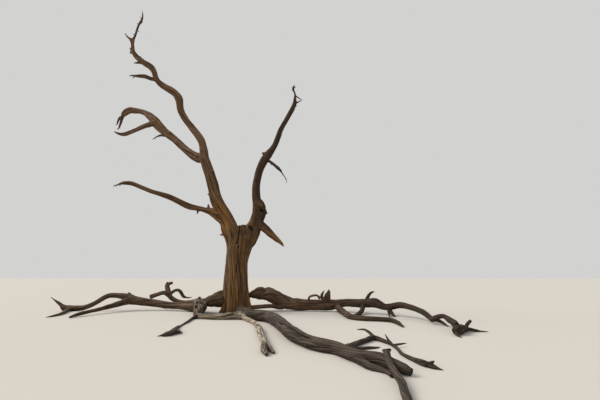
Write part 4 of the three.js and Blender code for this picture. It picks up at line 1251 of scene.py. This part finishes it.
# Long splits that show, as shares of the limb's length, degrees round it from its upper side, half
# width and depth in millimetres: from, to, turned from, turned to, half width, depth.
SPLITS = {
    "front_log": [(0.6, 0.78, 0, 48, 12, 34), (0.2, 0.36, 20, 5, 10, 26)],
    "pale_limb": [(0.42, 0.62, 60, 20, 7, 16), (0.66, 0.86, -10, 40, 7, 16)],
    "left_log": [(0.25, 0.6, -40, -60, 8, 18)],
    "right_log": [(0.2, 0.36, -30, -55, 12, 26), (0.5, 0.62, -50, -30, 9, 18)],
}


def sides_for(path):
    return max(FEWEST_SIDES, round(math.tau * path.radius.max() / FACE_WIDTH))


def fallen_wood(name):
    """The slot and the finish of a fallen limb."""
    if name.startswith("pale"):
        return "bleached_wood", BLEACHED_WOOD
    if name == "left_knot":
        return "fallen_wood", KNOTTED_WOOD
    return "fallen_wood", GREYED_WOOD if name in GREYED else FALLEN_WOOD


def fallen_limbs():
    for name, (way, *spur_ways) in FALLEN.items():
        seed = seed_of(name)
        gnarl = GNARLED.get(name, 1.0)
        path = Path(way, FACE_LENGTH, seed, gnarl, SPLITS.get(name, ()), broken=(1, 1))
        strands = [wound(path, *strand) for strand in STRANDS.get(name, ())]
        spurs = spur_paths(spur_ways + strands, SPUR_FACE_LENGTH, seed, broken=(0, 1))
        tubes = [tube(path, sides_for(path), BLUNT.get(name, 0))]
        tubes += [tube(spur, sides_for(spur)) for spur in spurs]
        mesh = welded(name, tubes)
        spacing = float(np.clip(STRAND_SHARE * path.thickness, LEAST_STRAND, MOST_STRAND))
        grown(mesh, [path, *spurs], spacing, lying=True)
        painted(mesh, [path, *spurs], spacing)
        nodes = [node for node in (name, name + "_end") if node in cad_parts]
        as_piece(name + "_wood", mesh, nodes, *fallen_wood(name))


def seeded_random(seed):
    """The same numbers each time for the same seed, from 0 to 1, as in the part's source."""
    modulus, multiplier, seed_stride = 2147483647, 16807, 7919
    state = (seed * seed_stride) % modulus
    while True:
        state = (state * multiplier) % modulus
        yield state / modulus


# The rule for a mass of twigs, as in the part's source, with lengths in millimetres, and the finer
# twigs that it is carried to.
GOLDEN_ANGLE = 2.39996
SPUR_RULE = {
    "length": (55, 120),
    "lean": 0.9,
    "shortest": 0.45,
    "from": 0.22,
    "to": 0.93,
    "stagger": 0.6,
    "bend_at": 0.55,
    "bend": 0.08,
    "radii": (0.42, 0.294, 0.105),
}
FINE_RULE = SPUR_RULE | {"length": (18, 42), "lean": 1.2, "radii": (0.5, 0.35, 0.12)}
FINE_TWIGS = 3
FINE_SEED_STRIDE = 31
TWIG_STEP, FINE_STEP = 0.01, 0.006
STEM_SIDES, TWIG_SIDES, FINE_SIDES = 16, 10, 6
TWIG_STRAND = 0.012
SMALL_SHARE = 0.0001  # of a stem, over which its heading is taken


def lerp(a, b, share):
    return a + (b - a) * share


def turned_about(vector, axis, angle):
    cosine, sine = math.cos(angle), math.sin(angle)
    return vector * cosine + np.cross(axis, vector) * sine + axis * (axis @ vector) * (1 - cosine)


def rule_spurs(stem, seed, count, rule):
    """Spurs that leave a stem a golden angle apart, leaning to its tip and shorter towards it."""
    random = seeded_random(seed)
    stem = np.array(stem, float)
    ways = []
    for k in range(count):
        place = (k + 0.5 + rule["stagger"] * (next(random) - 0.5)) / count
        share = lerp(rule["from"], rule["to"], place)
        behind, root, ahead = curve_points(stem[:, :3], [share - SMALL_SHARE, share, share + SMALL_SHARE])
        along = unit(ahead - behind)
        side = unit(np.array([along[1], -along[0], 0]))
        side = turned_about(side, along, GOLDEN_ANGLE * k + next(random))
        heading = unit(side + along * rule["lean"] * next(random))
        taper = 1 - (1 - rule["shortest"]) * share
        length = lerp(*rule["length"], next(random)) * taper
        i = min(int(share * (len(stem) - 1)), len(stem) - 2)
        radius = float(lerp(stem[i, 3], stem[i + 1, 3], ease(share * (len(stem) - 1) - i)))
        tip = root + heading * (radius + length)
        middle = lerp(root, tip, rule["bend_at"]) - along * rule["bend"] * length
        radii = [radius * thick for thick in rule["radii"]]
        ways.append([(*point, thick) for point, thick in zip((root, middle, tip), radii)])
    return ways


def twig_masses():
    for seed, (name, (stem, *forks)) in enumerate(TWIG_MASSES.items(), FIRST_TWIG_SEED):
        twigs = rule_spurs(stem, seed, TWIG_SPURS[name], SPUR_RULE)
        finer = []
        for k, way in enumerate([*twigs, *forks]):
            finer += rule_spurs(way, seed * FINE_SEED_STRIDE + k, FINE_TWIGS, FINE_RULE)
        stems = [Path(way, TWIG_STEP, seed + SEED["stems"] + i) for i, way in enumerate([stem, *forks])]
        twigs = [Path(way, TWIG_STEP, seed + SEED["twigs"] + i) for i, way in enumerate(twigs)]
        tubes = [tube(path, STEM_SIDES) for path in stems] + [tube(path, TWIG_SIDES) for path in twigs]
        tubes += [tube(Path(way, FINE_STEP), FINE_SIDES) for way in finer]
        mesh = mesh_of(name, tubes)
        grown(mesh, stems + twigs, TWIG_STRAND)
        painted(mesh, stems + twigs, TWIG_STRAND)
        as_piece(name + "_wood", mesh, [name], "twigs", TWIG_WOOD)


FLOOR_HALF, FLOOR_HEIGHT = 150.0, -0.002
SOFTBOX_ANGLE = 32
STUDIO_WALL = "#dcdcdb"

# The lamps: which way each shines, how strong and of what colour.
LAMPS = {"key": ((10, -1.5, -9), 2.9, "#fff6ea"), "front": ((4, 10, -4), 0.9, "#fff9f2")}


def pale_floor():
    """A plain matt floor, which isn't part of the tree."""
    square = ((-1, -1), (1, -1), (1, 1), (-1, 1))
    corners = [(x * FLOOR_HALF, y * FLOOR_HALF, FLOOR_HEIGHT) for x, y in square]
    floor = linked("floor", mesh_of("floor", [(corners, [(0, 1, 2, 3)])]))
    material = bpy.data.materials.new("pale_matt_floor")
    add = emptied(material)
    inputs = {"Base Color": linear("#bfbcb7"), "Roughness": 0.95, "Specular IOR Level": 0.1}
    add("OutputMaterial", {0: add("BsdfPrincipled", inputs)})
    floor.data.materials.append(material)
    floor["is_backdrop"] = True


def studio():
    """Lamps as wide as a softbox, which light the whole floor alike, and a pale wall all round."""
    world = bpy.data.worlds.new("pale_studio")
    add = emptied(world)
    add("OutputWorld", {0: add("Background", {"Color": linear(STUDIO_WALL), "Strength": 0.9})})
    bpy.context.scene.world = world
    bpy.context.scene.view_settings.view_transform = "Standard"
    for name, ((x, y, z), strength, colour) in LAMPS.items():
        lamp = bpy.data.lights.new(name, "SUN")
        lamp.angle = math.radians(SOFTBOX_ANGLE)
        lamp.energy = strength
        lamp.color = linear(colour)[:3]
        light = linked(name, lamp)
        light.rotation_euler = (math.atan2(math.hypot(x, y), -z), 0, math.atan2(y, x) - math.pi / 2)


standing_tree()
fallen_limbs()
twig_masses()
pale_floor()
studio()
